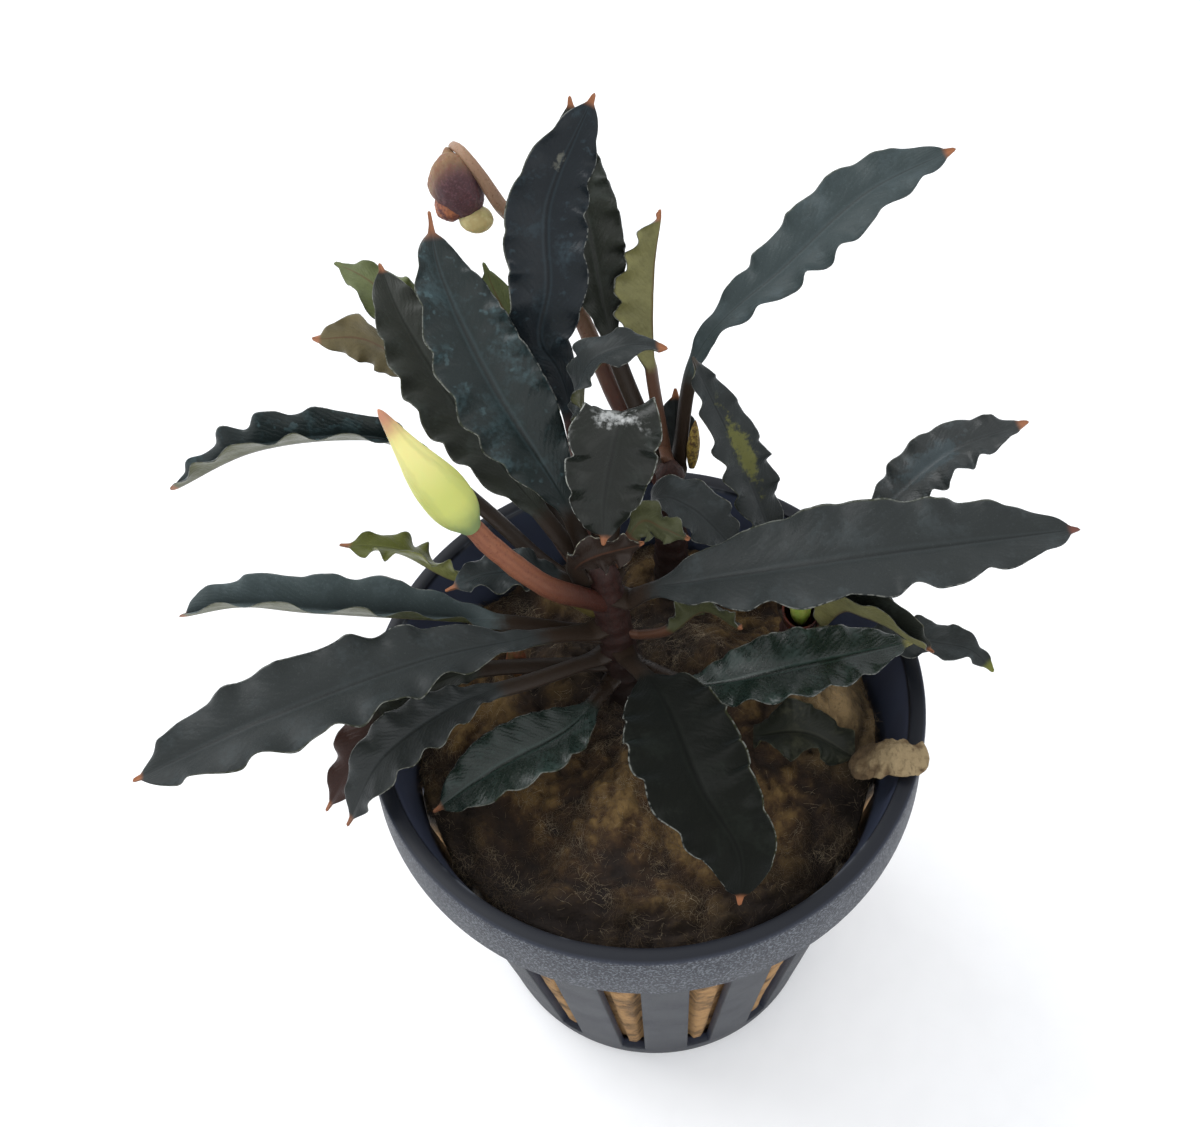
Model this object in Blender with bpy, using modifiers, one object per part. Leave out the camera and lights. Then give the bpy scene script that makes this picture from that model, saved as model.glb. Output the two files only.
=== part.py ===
"""A small aquarium plant with long rippled leaves, potted in fibre wool in a slotted net pot.

Every size below is in millimetres. The origin is the centre of the pot's underside, +Z is up
and -Y is the front of the plant. Run it from Blender's text editor, or in background mode.
"""
import math
from collections import namedtuple

import bmesh
import bpy
from mathutils import Matrix, Vector, noise

MM = 0.001
GAP = 0.3
MERGE_DISTANCE = 0.00001
COLLECTION = "potted_bucephalandra"
UP = Vector((0.0, 0.0, 1.0))

# Finishes: colour and roughness
Finish = namedtuple("Finish", "colour roughness")
BLACK_PLASTIC = Finish((0.012, 0.013, 0.017), 0.4)
BROWN_WOOL = Finish((0.22, 0.13, 0.05), 0.95)
TAN_WOOL = Finish((0.42, 0.28, 0.13), 0.95)
RED_BROWN_STEM = Finish((0.12, 0.035, 0.02), 0.5)
DARK_LEAF = Finish((0.02, 0.035, 0.035), 0.45)
DEAD_LEAF = Finish((0.03, 0.04, 0.02), 0.8)
SALMON_STALK = Finish((0.42, 0.12, 0.06), 0.5)
LIME_BUD = Finish((0.62, 0.68, 0.2), 0.5)
FADED_STALK = Finish((0.3, 0.1, 0.06), 0.5)
TAN_HOOD = Finish((0.3, 0.2, 0.1), 0.7)
PURPLE_FRUIT = Finish((0.08, 0.04, 0.05), 0.6)
PALE_LOBE = Finish((0.6, 0.55, 0.3), 0.6)
RED_SHEATH = Finish((0.14, 0.03, 0.02), 0.5)
GREEN_BUD = Finish((0.35, 0.5, 0.08), 0.5)
GOLDEN_BRACT = Finish((0.3, 0.22, 0.05), 0.5)
RED_SHOOT = Finish((0.2, 0.08, 0.04), 0.5)

# Pot
POT_HEIGHT = 50.0
POT_SIDES = 48
LIP_RADIUS = 25.0
LIP_WIDTH = 1.5
LIP_ROUND = 0.35
SKIRT_HEIGHT = 6.6
SKIRT_RADIUS = 25.3
SKIRT_WALL = 1.1
WALL = 1.0
BODY_TOP_RADIUS = 23.2
BASE_RADIUS = 17.8
FLOOR = 1.2
SLOTS = 16
SLOT_START_DEG = 10.2
SLOT_TOP_WIDTH = 4.3
SLOT_LOW_WIDTH = 2.4
SLOT_LOW_Z = 2.6
SLOT_TOP_Z = 38.8
SLOT_REACH = 6.0

# Fibre wool
WOOL_SIDES = 40
WOOL_RINGS = 7
WOOL_TOP = 43.5
WOOL_EDGE_DROP = 2.0
WOOL_SEED = Vector((3.1, 7.7, 1.9))
WOOL_LUMP_PITCH = 7.0
WOOL_LUMP_HEIGHT = 2.0
WOOL_LOW = FLOOR + GAP
WOOL_SHOULDER_DROP = 6.0
WOOL_FIRST_RING = 0.15
Lump = namedtuple("Lump", "x y radius height")
WOOL_LUMPS = (
    Lump(17.0, -1.0, 6.0, 3.0),
    Lump(6.5, 6.0, 4.0, 3.0),
    Lump(1.0, -8.0, 7.0, 1.5),
    Lump(-8.0, 8.0, 5.0, 1.5),
)

# Stems of the rhizome: root end, top end, radii
STEM_SIDES = 10
STEM_SOCKET = 0.35
Stem = namedtuple("Stem", "name root top root_radius top_radius")
FRONT = Stem("stem_front", (-1.0, 3.0, 38.0), (-2.8, 8.0, 60.0), 2.1, 1.3)
BACK = Stem("stem_back", (4.0, 15.5, 38.0), (4.2, 18.4, 59.5), 1.9, 1.2)
RIGHT = Stem("stem_right", (14.5, 8.0, 38.0), (15.0, 7.2, 48.5), 1.6, 1.3)
STEMS = (FRONT, BACK, RIGHT)

# Leaves. Each grows from a stem at a height. Its path runs along the midrib, from just off the
# stem to the tip. The roll turns the blade about its midrib, at its start and at its tip.
Leaf = namedtuple("Leaf", "name stem height path stalk width peak roll fold ripple waves heading")
LEAF_DEFAULT = Leaf("", None, 0.0, (), 0.2, 8.0, 0.5, (0, 0), 14, 0.6, 8, None)


def leaf(name, stem, height, path, **sizes):
    """Return a leaf's sizes, with the usual value for each one that is not given."""
    return LEAF_DEFAULT._replace(name=name, stem=stem, height=height, path=path, **sizes)


LEAVES = (
    leaf("leaf_tall_front", FRONT, 56.2, ((-4.5, 20.3, 68.2), (-6.3, 22.9, 72.3), (-5.2, 25.1, 76.6),
                                          (-4.5, 29.5, 81.8), (0, 33.4, 89.4)),
         stalk=0.32, width=6.8, peak=0.57),
    leaf("leaf_tall_back", BACK, 58.0, ((0, 27, 66), (-1.2, 33, 74), (-2, 37, 79), (-2, 41, 83)),
         stalk=0.36, width=5.4),
    leaf("leaf_folded_pale", BACK, 59.0, ((3.2, 25.5, 66), (3.8, 30, 72), (5, 32.5, 77)),
         stalk=0.35, width=5.6, roll=(-120, -120), fold=40, waves=6),
    leaf("leaf_upper_right", BACK, 57.0, ((7.8, 25.4, 66.4), (15.8, 29.2, 72.2), (22.8, 32, 77.2),
                                          (30.5, 33.5, 80)),
         stalk=0.22, width=6.4, peak=0.64, waves=7),
    leaf("leaf_yellow_patch", RIGHT, 48.0, ((12.3, 12.8, 56.6), (9.7, 15.5, 64.5), (7.6, 17.7, 69.5),
                                            (6.3, 18.5, 73.5)),
         width=4.6, waves=7),
    leaf("leaf_right_back", RIGHT, 46.0, ((17.8, 9.5, 51.8), (23.4, 13.4, 56.3), (29.2, 16, 60.3),
                                          (36.4, 17.4, 62)),
         stalk=0.42, width=5.2, waves=6),
    leaf("leaf_right_long", FRONT, 56.0, ((2.5, 4.6, 60), (11, 2.7, 64.2), (22, 2, 66.4), (37, 3.5, 65)),
         stalk=0.1, width=9.2, waves=7),
    leaf("leaf_right_low", FRONT, 48.0, ((5, 0, 50.5), (13.5, -1, 54), (24, 0.5, 54)),
         width=6.6, ripple=0.4, waves=7),
    leaf("leaf_right_arched", RIGHT, 47.0, ((17.3, 3, 56.4), (18.9, 0.8, 59), (20.9, -1, 59.6),
                                            (22.5, -2.1, 58.9), (24.6, -2.6, 57.2)),
         stalk=0.3, width=6.4, fold=72, waves=5),
    leaf("leaf_right_small", RIGHT, 45.5, ((22.1, 2.8, 51.5), (26, 0.9, 52.8), (28.8, -0.4, 53.2),
                                           (30.7, -2.1, 52)),
         stalk=0.3, width=3.6, waves=4),
    leaf("leaf_front", FRONT, 50.0, ((1.5, -3, 54), (3.7, -13, 57), (6.2, -18, 55), (6, -21, 51)),
         stalk=0.14, width=9.2, peak=0.45, heading=-80),
    leaf("leaf_front_left_low", FRONT, 46.5, ((-7, -2.2, 48.5), (-13.5, -6, 49.5), (-19.5, -8.5, 47)),
         stalk=0.15, width=6.2, ripple=0.3, waves=6),
    leaf("leaf_rim_left", FRONT, 49.2, ((-10, 1, 52), (-16, -1.7, 54), (-22.7, -6.3, 54),
                                        (-26.5, -10.5, 50)),
         stalk=0.36, width=5.2, peak=0.55, waves=6),
    leaf("leaf_rim_left_back", FRONT, 47.6, ((-16, 3, 51), (-23, -2, 52.5), (-29, -7.5, 47)),
         stalk=0.36, width=5.4, waves=6),
    leaf("leaf_left_long", FRONT, 52.4, ((-9.5, 2.9, 56.2), (-19, -0.2, 59.1), (-32, -5, 59.9),
                                         (-43.5, -7.5, 56)),
         stalk=0.14, width=8.2, peak=0.57, ripple=0.8, waves=7),
    leaf("leaf_left_middle", FRONT, 51.0, ((-10.5, 6.2, 53.4), (-17, 6.7, 54.6), (-28, 5.2, 60.2),
                                           (-34.3, 6.5, 60), (-40.4, 7.7, 57.2)),
         stalk=0.22, width=7, fold=62, ripple=0.7, waves=6),
    leaf("leaf_left_young", FRONT, 52.6, ((-9, 10.4, 53.8), (-15.5, 10.4, 55.4), (-20.5, 11.8, 58.5),
                                          (-26, 12.8, 58.8)),
         stalk=0.4, width=4.8, roll=(90, 0), waves=5),
    leaf("leaf_left_arching", FRONT, 54.6, ((-8, 11.2, 55.6), (-13, 15, 59.6), (-18.8, 18, 65),
                                            (-23.9, 17.9, 67.6), (-32.3, 17.7, 67.2),
                                            (-40.8, 18.5, 61.5)),
         stalk=0.4, width=4.8, fold=56, ripple=0.7, waves=6),
    leaf("leaf_upper_left_small", FRONT, 53.4, ((-12.5, 22.5, 60), (-21, 30.5, 65), (-28, 33, 64)),
         stalk=0.6, width=5, roll=(-90, -60), waves=4),
    leaf("leaf_upper_left_back", FRONT, 56.8, ((-7.4, 12.5, 60.6), (-14, 21.5, 65), (-18.6, 29.5, 69),
                                               (-20.5, 35, 71)),
         width=7.2),
    leaf("leaf_upper_left", FRONT, 59.0, ((-6, 12, 65.4), (-10.6, 18.5, 72), (-14, 25.5, 78),
                                          (-14.5, 29.5, 82)),
         stalk=0.16),
    leaf("leaf_upper_left_far", FRONT, 51.6, ((-12.5, 28, 60), (-21, 36, 66), (-25.5, 39.5, 67)),
         stalk=0.66, width=4.8, waves=4),
    leaf("leaf_behind_small", FRONT, 54.4, ((-7, 25.5, 64), (-10, 31, 69), (-11, 33, 72)),
         stalk=0.5, width=4.4, waves=4),
    leaf("leaf_back_small", BACK, 52.5, ((5.2, 23, 57.5), (5.4, 24.8, 62)),
         stalk=0.3, width=3.4, ripple=0.2, waves=3),
    leaf("leaf_centre_arched", FRONT, 59.6, ((-0.5, 13, 68), (0, 13.5, 73), (-0.5, 11, 74.5),
                                             (-2, 8, 69.5), (-2.5, 6, 65)),
         stalk=0.36, width=6.8, fold=18, ripple=0.8, waves=6, heading=-90),
    leaf("leaf_centre_top", FRONT, 58.4, ((-3.6, 15.8, 69), (-2.6, 17, 75), (0.8, 17.2, 77),
                                          (4.2, 17.6, 75.8)),
         stalk=0.4, width=4.2, waves=5, heading=0),
    leaf("leaf_centre_right", FRONT, 57.4, ((2.2, 12, 62.3), (5.2, 11, 62.6), (8, 9.4, 59.8),
                                            (9.6, 8.2, 56.8)),
         stalk=0.3, width=4.6, waves=5, heading=-40),
    leaf("leaf_centre_left", FRONT, 56.2, ((-8, 8.2, 58.4), (-12.8, 7.6, 59.8), (-16.5, 6.4, 59.6)),
         width=3.8, waves=4),
    leaf("leaf_centre_cupped", FRONT, 58.0, ((-5, 7, 61), (-3, 6.8, 63), (1, 7, 63.6)),
         stalk=0.3, width=3.6, roll=(80, 80), waves=3, heading=0),
    leaf("leaf_centre_pale", FRONT, 59.0, ((1.2, 9.8, 62.8), (3, 8.8, 63), (5, 7.6, 62.6)),
         stalk=0.3, width=3.2, roll=(70, 70), waves=3, heading=-40),
    leaf("leaf_under_right", FRONT, 51.0, ((2.6, 4.8, 52.4), (6, 5.6, 54.4), (9.2, 3.4, 53.8)),
         stalk=0.3, width=4.2, roll=(-66, -66), waves=4),
)

# A decayed piece of leaf that lies on the wool, from end to end
DECAYED = ((9.5, -3.6), (14.0, -4.2), (18.4, -6.2))
DECAYED_WIDTH = 5.0
DECAYED_FOLD = -6
DECAYED_LIFT = 2.1

# Flap of wool: its path over the rim, and the size of its section
FLAP_PATH = ((17.6, -7.2, 47.0), (19.8, -8.3, 49.4), (21.6, -9.2, 51.0), (23.6, -9.9, 51.3))
FLAP_WIDTH = 4.2
FLAP_THICKNESS = 1.1
FLAP_SIDES = 8
FLAP_STEPS = 6

# Flower stalks: stem, height, path from the foot on, radius
Stalk = namedtuple("Stalk", "name stem height path radius")
BUD_STALK = Stalk("bud_stalk", FRONT, 54.6,
                  ((-7.3, 4.5, 61.5), (-11.0, 4.5, 67.4), (-12.8, 4.9, 70.8)), 0.85)
SPENT_STALK = Stalk("spent_flower_stalk", BACK, 55.0,
                    ((0, 25.2, 60.6), (-3, 31.2, 66.8), (-7.2, 33.8, 74.6), (-8.8, 33.5, 78.2)), 0.75)
STALK_POINTS = 8
STALK_ROUNDNESS = 2

# Closed bud: its ends, and its radius at shares of its length
BUD_ENDS = ((-13.1, 5.0, 71.3), (-18.5, 8.2, 82.6))
BUD_PROFILE = ((1.0, 0.0), (0.93, 0.32), (0.78, 0.72), (0.6, 1.3), (0.42, 1.83), (0.26, 1.97), (0.12, 1.6),
               (0.03, 0.95), (0.0, 0.0))
BUD_SIDES = 12

# Spent flower: hood, fruit and pale lobe
HOOD_CENTRE = (-12.5, 34.5, 79.77)
HOOD_RADIUS = 2.1
HOOD_WALL = 0.35
HOOD_TILT = (-12.7, 15.6, 0.0)
HOOD_STRETCH = (1.0, 1.0, 1.5)
HOOD_CUT = -0.35
HOOD_SIDES = 12
HOOD_RINGS = 10
FRUIT_CENTRE = (-13.1, 33.9, 78.2)
FRUIT_RADII = (1.3, 1.3, 1.3)
LOBE_CENTRE = (-10.6, 33.3, 76.8)
LOBE_RADII = (1.4, 1.15, 1.0)
EGG_SUBDIVISIONS = 2

# Sheath of the young bud, open upwards
SHEATH_ENDS = ((15.0, 6.9, 49.0), (14.8, 5.3, 53.2))
SHEATH_RADII = (1.35, 1.8)
SHEATH_WALL = 0.3
SHEATH_FLOOR = 0.1

# Small growths: lower end, upper end, greatest radius, and two outlines tip first, as shares
Growth = namedtuple("Growth", "low high radius")
YOUNG_BUD = Growth((14.9, 5.8, 50.2), (14.5, 5.4, 56.2), 0.95)
BRACT = Growth((6.3, 19.0, 57.4), (6.9, 21.2, 61.6), 0.6)
OLD_SHOOT = Growth((-11.5, 5.2, 46.2), (-11.3, 6.2, 50.4), 0.95)
SPINDLE = ((1.0, 0.0), (0.85, 0.6), (0.55, 1.0), (0.2, 0.8), (0.0, 0.0))
SPIKE = ((1.0, 0.0), (0.5, 0.55), (0.0, 1.0), (0.0, 0.0))
CONE_SIDES = 8

# What all leaves share
LEAF_RIB = 0.35
RIB_TAPER = 0.7
STALK_WIDTH = 0.55
STALK_DEPTH = 0.45
FOOT_GAP = 0.7
STALK_STEPS = 4
STEPS_PER_WAVE = 3
WIDTH_WAVE = 0.05
BASE_FULLNESS = 0.85
TIP_FULLNESS = 0.53
RIPPLE_ONSET = 0.5


def clear_scene():
    """Remove every object that the file opened with."""
    for thing in list(bpy.data.objects):
        bpy.data.objects.remove(thing, do_unlink=True)


def make_collection(name):
    """Return a new collection linked to the scene."""
    group = bpy.data.collections.new(name)
    bpy.context.scene.collection.children.link(group)
    return group


def make_material(name, finish):
    """Return a Principled BSDF material of one colour."""
    material = bpy.data.materials.new(name)
    material.use_nodes = True
    shader = material.node_tree.nodes["Principled BSDF"]
    shader.inputs["Base Color"].default_value = (*finish.colour, 1.0)
    shader.inputs["Roughness"].default_value = finish.roughness
    shader.inputs["Metallic"].default_value = 0.0
    material.diffuse_color = (*finish.colour, 1.0)
    return material


def add_object(name, mesh, group, finish=None):
    """Link a mesh as a named object, with a material of its own."""
    thing = bpy.data.objects.new(name, mesh)
    group.objects.link(thing)
    if finish:
        mesh.materials.append(make_material(name, finish))
    return thing


def add_cutter(name, mesh, group):
    """Link a mesh as a cutter, shown as wire and kept out of renders."""
    cutter = add_object(name, mesh, group)
    cutter.hide_render = True
    cutter.display_type = "WIRE"
    return cutter


def add_turn(thing, sides):
    """Turn an object's profile about its own Z axis into a closed body."""
    turn = thing.modifiers.new("turn", "SCREW")
    turn.steps = sides
    turn.render_steps = sides
    turn.use_merge_vertices = True
    turn.merge_threshold = MERGE_DISTANCE


def profile_mesh(name, profile):
    """Return a line of joined points, given as radius and height in millimetres."""
    mesh = bpy.data.meshes.new(name)
    edges = [(i, i + 1) for i in range(len(profile) - 1)]
    mesh.from_pydata([(radius * MM, 0.0, z * MM) for radius, z in profile], edges, [])
    return mesh


def mesh_from_rings(name, rings, foot_point=None, tip_point=None):
    """Loft closed rings of equal count into one closed body, given in millimetres."""
    bm = bmesh.new()
    loops = [[bm.verts.new(Vector(point) * MM) for point in ring] for ring in rings]
    count = len(loops[0])
    for lower, upper in zip(loops, loops[1:]):
        for i in range(count):
            j = (i + 1) % count
            bm.faces.new((lower[i], lower[j], upper[j], upper[i]))
    close_end(bm, loops[0], foot_point)
    close_end(bm, loops[-1], tip_point)
    bmesh.ops.triangulate(bm, faces=bm.faces[:])
    bmesh.ops.recalc_face_normals(bm, faces=bm.faces[:])
    mesh = bpy.data.meshes.new(name)
    bm.to_mesh(mesh)
    bm.free()
    mesh.shade_smooth()
    return mesh


def close_end(bm, loop, point):
    """Close a ring with a flat face, or with a fan to a point."""
    if point is None:
        bm.faces.new(loop)
        return
    tip = bm.verts.new(Vector(point) * MM)
    for i, vert in enumerate(loop):
        bm.faces.new((vert, loop[(i + 1) % len(loop)], tip))


def spline_point(points, u):
    """Return the place at u, from 0 to 1, on a smooth curve through the points."""
    spans = len(points) - 1
    k = min(int(u * spans), spans - 1)
    t = u * spans - k
    p1, p2 = points[k], points[k + 1]
    p0 = points[k - 1] if k > 0 else p1 * 2 - p2
    p3 = points[k + 2] if k + 2 <= spans else p2 * 2 - p1
    return 0.5 * (2 * p1 + (p2 - p0) * t + (2 * p0 - 5 * p1 + 4 * p2 - p3) * t * t
                  + (3 * p1 - p0 - 3 * p2 + p3) * t ** 3)


class Path:
    """A smooth curve measured by its own length."""

    SAMPLES = 160

    def __init__(self, points):
        self.points = [Vector(point) for point in points]
        self.table = [spline_point(self.points, i / self.SAMPLES) for i in range(self.SAMPLES + 1)]
        self.lengths = [0.0]
        for a, b in zip(self.table, self.table[1:]):
            self.lengths.append(self.lengths[-1] + (b - a).length)
        self.length = self.lengths[-1]

    def at(self, s):
        """Return the place at a share s of the length."""
        target = min(max(s, 0.0), 1.0) * self.length
        k = 0
        while k < self.SAMPLES - 1 and self.lengths[k + 1] < target:
            k += 1
        span = self.lengths[k + 1] - self.lengths[k]
        return self.table[k].lerp(self.table[k + 1], (target - self.lengths[k]) / span)

    def tangent(self, s):
        """Return the direction of the curve at a share s of the length."""
        step = 0.01
        return (self.at(s + step) - self.at(s - step)).normalized()


def stem_axis(stem, z):
    """Return a stem's centre and radius at a height."""
    root = Vector(stem.root)
    top = Vector(stem.top)
    share = (z - root.z) / (top.z - root.z)
    return root.lerp(top, share), stem.root_radius + (stem.top_radius - stem.root_radius) * share


def foot(stem, z, towards):
    """Return the place just off a stem where a stalk starts, on the side of a point."""
    centre, radius = stem_axis(stem, z)
    out = Vector(towards) - centre
    out.z = 0.0
    return centre + out.normalized() * (radius + FOOT_GAP)


def leaf_heading(spec, path):
    """Return the level direction that a leaf grows in."""
    if spec.heading is not None:
        angle = math.radians(spec.heading)
        return Vector((math.cos(angle), math.sin(angle), 0.0))
    reach = path.points[-1] - path.points[0]
    return Vector((reach.x, reach.y, 0.0)).normalized()


def leaf_frame(spec, path, s, t):
    """Return the sideways and upward directions of the blade at a share s of the leaf."""
    tangent = path.tangent(s)
    side = UP.cross(leaf_heading(spec, path))
    side = (side - tangent * side.dot(tangent)).normalized()
    roll = spec.roll[0] + (spec.roll[1] - spec.roll[0]) * t
    side = Matrix.Rotation(math.radians(roll), 3, tangent) @ side
    return side, tangent.cross(side)


def blade_half_width(spec, t):
    """Return half the width of a blade, 0 at its start, full at its peak and 0 at its tip."""
    power = math.log(0.5) / math.log(spec.peak)
    fullness = BASE_FULLNESS + (TIP_FULLNESS - BASE_FULLNESS) * t
    return spec.width / 2 * math.sin(math.pi * t ** power) ** fullness


def margin_point(spec, centre, side, up, t, sign):
    """Return the rippled margin of the blade on one side."""
    phase = math.tau * spec.waves * t + sign
    half = blade_half_width(spec, t) * (1 + WIDTH_WAVE * math.sin(phase * 2)) + STALK_WIDTH * (1 - t)
    fold = math.radians(spec.fold)
    lift = half * math.sin(fold) + spec.ripple * math.sin(phase) * math.sin(math.pi * t) ** RIPPLE_ONSET
    return centre + side * sign * half * math.cos(fold) + up * lift


def leaf_ring(spec, path, s, t):
    """Return the four corners of a leaf's section: left margin, top rib, right margin, low rib."""
    centre = path.at(s)
    side, up = leaf_frame(spec, path, s, t)
    if t <= 0.0:
        return (centre + side * STALK_WIDTH, centre + up * STALK_DEPTH,
                centre - side * STALK_WIDTH, centre - up * STALK_DEPTH)
    rib = up * LEAF_RIB * (1 - RIB_TAPER * t)
    left, right = (margin_point(spec, centre, side, up, t, sign) for sign in (1, -1))
    return left, centre + rib, right, centre - rib


def leaf_mesh(spec):
    """Return one leaf as a closed body: a stalk that widens into a rippled, folded blade."""
    points = spec.path
    if spec.stem:
        points = (foot(spec.stem, spec.height, spec.path[0]), *spec.path)
    path = Path(points)
    steps = spec.waves * STEPS_PER_WAVE
    rings = [leaf_ring(spec, path, spec.stalk * i / STALK_STEPS, 0.0) for i in range(STALK_STEPS)]
    for i in range(steps):
        t = i / steps
        rings.append(leaf_ring(spec, path, spec.stalk + (1 - spec.stalk) * t, t))
    return mesh_from_rings(spec.name, rings, tip_point=path.at(1.0))


def build_leaves(group):
    """Make every leaf, each with its own material."""
    for spec in LEAVES:
        add_object(spec.name, leaf_mesh(spec), group, DARK_LEAF)


def body_radius(z):
    """Return the outer radius of the pot's wall at a height."""
    share = z / (POT_HEIGHT - SKIRT_HEIGHT)
    return BASE_RADIUS + (BODY_TOP_RADIUS - BASE_RADIUS) * share


def build_pot(group, cutters):
    """Make the turned pot with its lip and skirt, and cut the ring of tapered slots."""
    skirt_low = POT_HEIGHT - SKIRT_HEIGHT
    profile = (
        (0.0, FLOOR),
        (body_radius(FLOOR) - WALL, FLOOR),
        (body_radius(skirt_low) - WALL, skirt_low),
        (LIP_RADIUS - LIP_WIDTH, POT_HEIGHT - LIP_ROUND),
        (LIP_RADIUS - LIP_WIDTH + LIP_ROUND, POT_HEIGHT),
        (LIP_RADIUS - LIP_ROUND, POT_HEIGHT),
        (LIP_RADIUS, POT_HEIGHT - LIP_ROUND),
        (SKIRT_RADIUS, skirt_low),
        (SKIRT_RADIUS - SKIRT_WALL, skirt_low),
        (BODY_TOP_RADIUS, skirt_low + LIP_WIDTH),
        (BODY_TOP_RADIUS, skirt_low),
        (BASE_RADIUS, 0.0),
        (0.0, 0.0),
    )
    pot = add_object("pot", profile_mesh("pot", profile), group, BLACK_PLASTIC)
    add_turn(pot, POT_SIDES)
    cut = pot.modifiers.new("slots", "BOOLEAN")
    cut.object = slot_cutter(cutters)


def slot_cutter(cutters):
    """Make the ring of tapered blocks that cuts the pot's slots."""
    bm = bmesh.new()
    for i in range(SLOTS):
        angle = math.radians(SLOT_START_DEG + 360 / SLOTS * i)
        turn = Matrix.Rotation(angle, 4, "Z")
        corners = []
        for z, width in ((SLOT_LOW_Z, SLOT_LOW_WIDTH), (SLOT_TOP_Z, SLOT_TOP_WIDTH)):
            middle = body_radius(z) - WALL / 2
            for x in (middle - SLOT_REACH / 2, middle + SLOT_REACH / 2):
                for y in (-width / 2, width / 2):
                    corners.append(bm.verts.new(turn @ Vector((x, y, z)) * MM))
        bmesh.ops.convex_hull(bm, input=corners)
    bmesh.ops.recalc_face_normals(bm, faces=bm.faces[:])
    mesh = bpy.data.meshes.new("slot_cutter")
    bm.to_mesh(mesh)
    bm.free()
    return add_cutter("slot_cutter", mesh, cutters)


def wool_height(x, y):
    """Return the lumpy height of the wool's top."""
    radius = math.hypot(x, y) / BODY_TOP_RADIUS
    place = Vector((x, y, 0.0)) / WOOL_LUMP_PITCH + WOOL_SEED
    height = WOOL_TOP - WOOL_EDGE_DROP * radius ** 4 + WOOL_LUMP_HEIGHT * noise.noise(place)
    for lump in WOOL_LUMPS:
        far = math.hypot(x - lump.x, y - lump.y) / lump.radius
        height += lump.height * math.exp(-far * far)
    return height


def wool_ring(radius, z=None):
    """Return a ring of the wool, level at z or on the lumpy top."""
    ring = []
    for i in range(WOOL_SIDES):
        angle = math.tau * i / WOOL_SIDES
        x = radius * math.cos(angle)
        y = radius * math.sin(angle)
        ring.append((x, y, wool_height(x, y) if z is None else z))
    return ring


def build_wool(group, cutters):
    """Make the plug of wool that fills the pot, with sockets for the stems."""
    inset = WALL + GAP
    edge_z = WOOL_TOP - WOOL_SHOULDER_DROP
    rings = [wool_ring(body_radius(WOOL_LOW) - inset, WOOL_LOW),
             wool_ring(body_radius(edge_z) - inset, edge_z)]
    outer = body_radius(edge_z) - inset
    for i in range(WOOL_RINGS):
        rings.append(wool_ring(outer * (1 - (i + WOOL_FIRST_RING) / WOOL_RINGS)))
    mesh = mesh_from_rings("wool", rings, tip_point=(0.0, 0.0, wool_height(0.0, 0.0)))
    wool = add_object("wool", mesh, group, BROWN_WOOL)
    for spec in STEMS:
        cut = wool.modifiers.new(spec.name, "BOOLEAN")
        cut.object = add_cutter(spec.name + "_socket", stem_mesh(spec, STEM_SOCKET), cutters)


def stem_mesh(spec, extra=0.0):
    """Return a tapered round stem, thicker and longer downwards by the extra clearance."""
    root = Vector(spec.root)
    top = Vector(spec.top)
    along = (top - root).normalized()
    side = along.cross(Vector((0.0, 1.0, 0.0))).normalized()
    front = along.cross(side)
    rings = []
    for centre, radius in ((root - along * extra, spec.root_radius), (top, spec.top_radius)):
        rings.append([centre + (side * math.cos(a) + front * math.sin(a)) * (radius + extra)
                      for a in (math.tau * i / STEM_SIDES for i in range(STEM_SIDES))])
    return mesh_from_rings(spec.name, rings)


def build_stems(group):
    """Make the upright stems of the rhizome."""
    for spec in STEMS:
        add_object(spec.name, stem_mesh(spec), group, RED_BROWN_STEM)


def flap_ring(centre, across, up):
    """Return one flattened ring of the flap of wool."""
    ring = []
    for i in range(FLAP_SIDES):
        angle = math.tau * i / FLAP_SIDES
        ring.append(centre + across * math.cos(angle) * FLAP_WIDTH / 2
                    + up * math.sin(angle) * FLAP_THICKNESS / 2)
    return ring


def build_flap(group):
    """Make the torn flap of wool that lies over the rim."""
    path = Path(FLAP_PATH)
    rings = []
    for i in range(FLAP_STEPS + 1):
        s = i / FLAP_STEPS
        tangent = path.tangent(s)
        across = UP.cross(tangent).normalized()
        rings.append(flap_ring(path.at(s), across, tangent.cross(across)))
    add_object("wool_flap", mesh_from_rings("wool_flap", rings), group, TAN_WOOL)


def build_decayed_leaf(group):
    """Make the decayed piece of leaf, draped on the wool."""
    points = tuple((x, y, wool_height(x, y) + DECAYED_LIFT) for x, y in DECAYED)
    spec = LEAF_DEFAULT._replace(name="decayed_leaf", path=points, stalk=0.0, width=DECAYED_WIDTH,
                                 fold=DECAYED_FOLD, ripple=0.3, waves=3)
    add_object(spec.name, leaf_mesh(spec), group, DEAD_LEAF)


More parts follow.
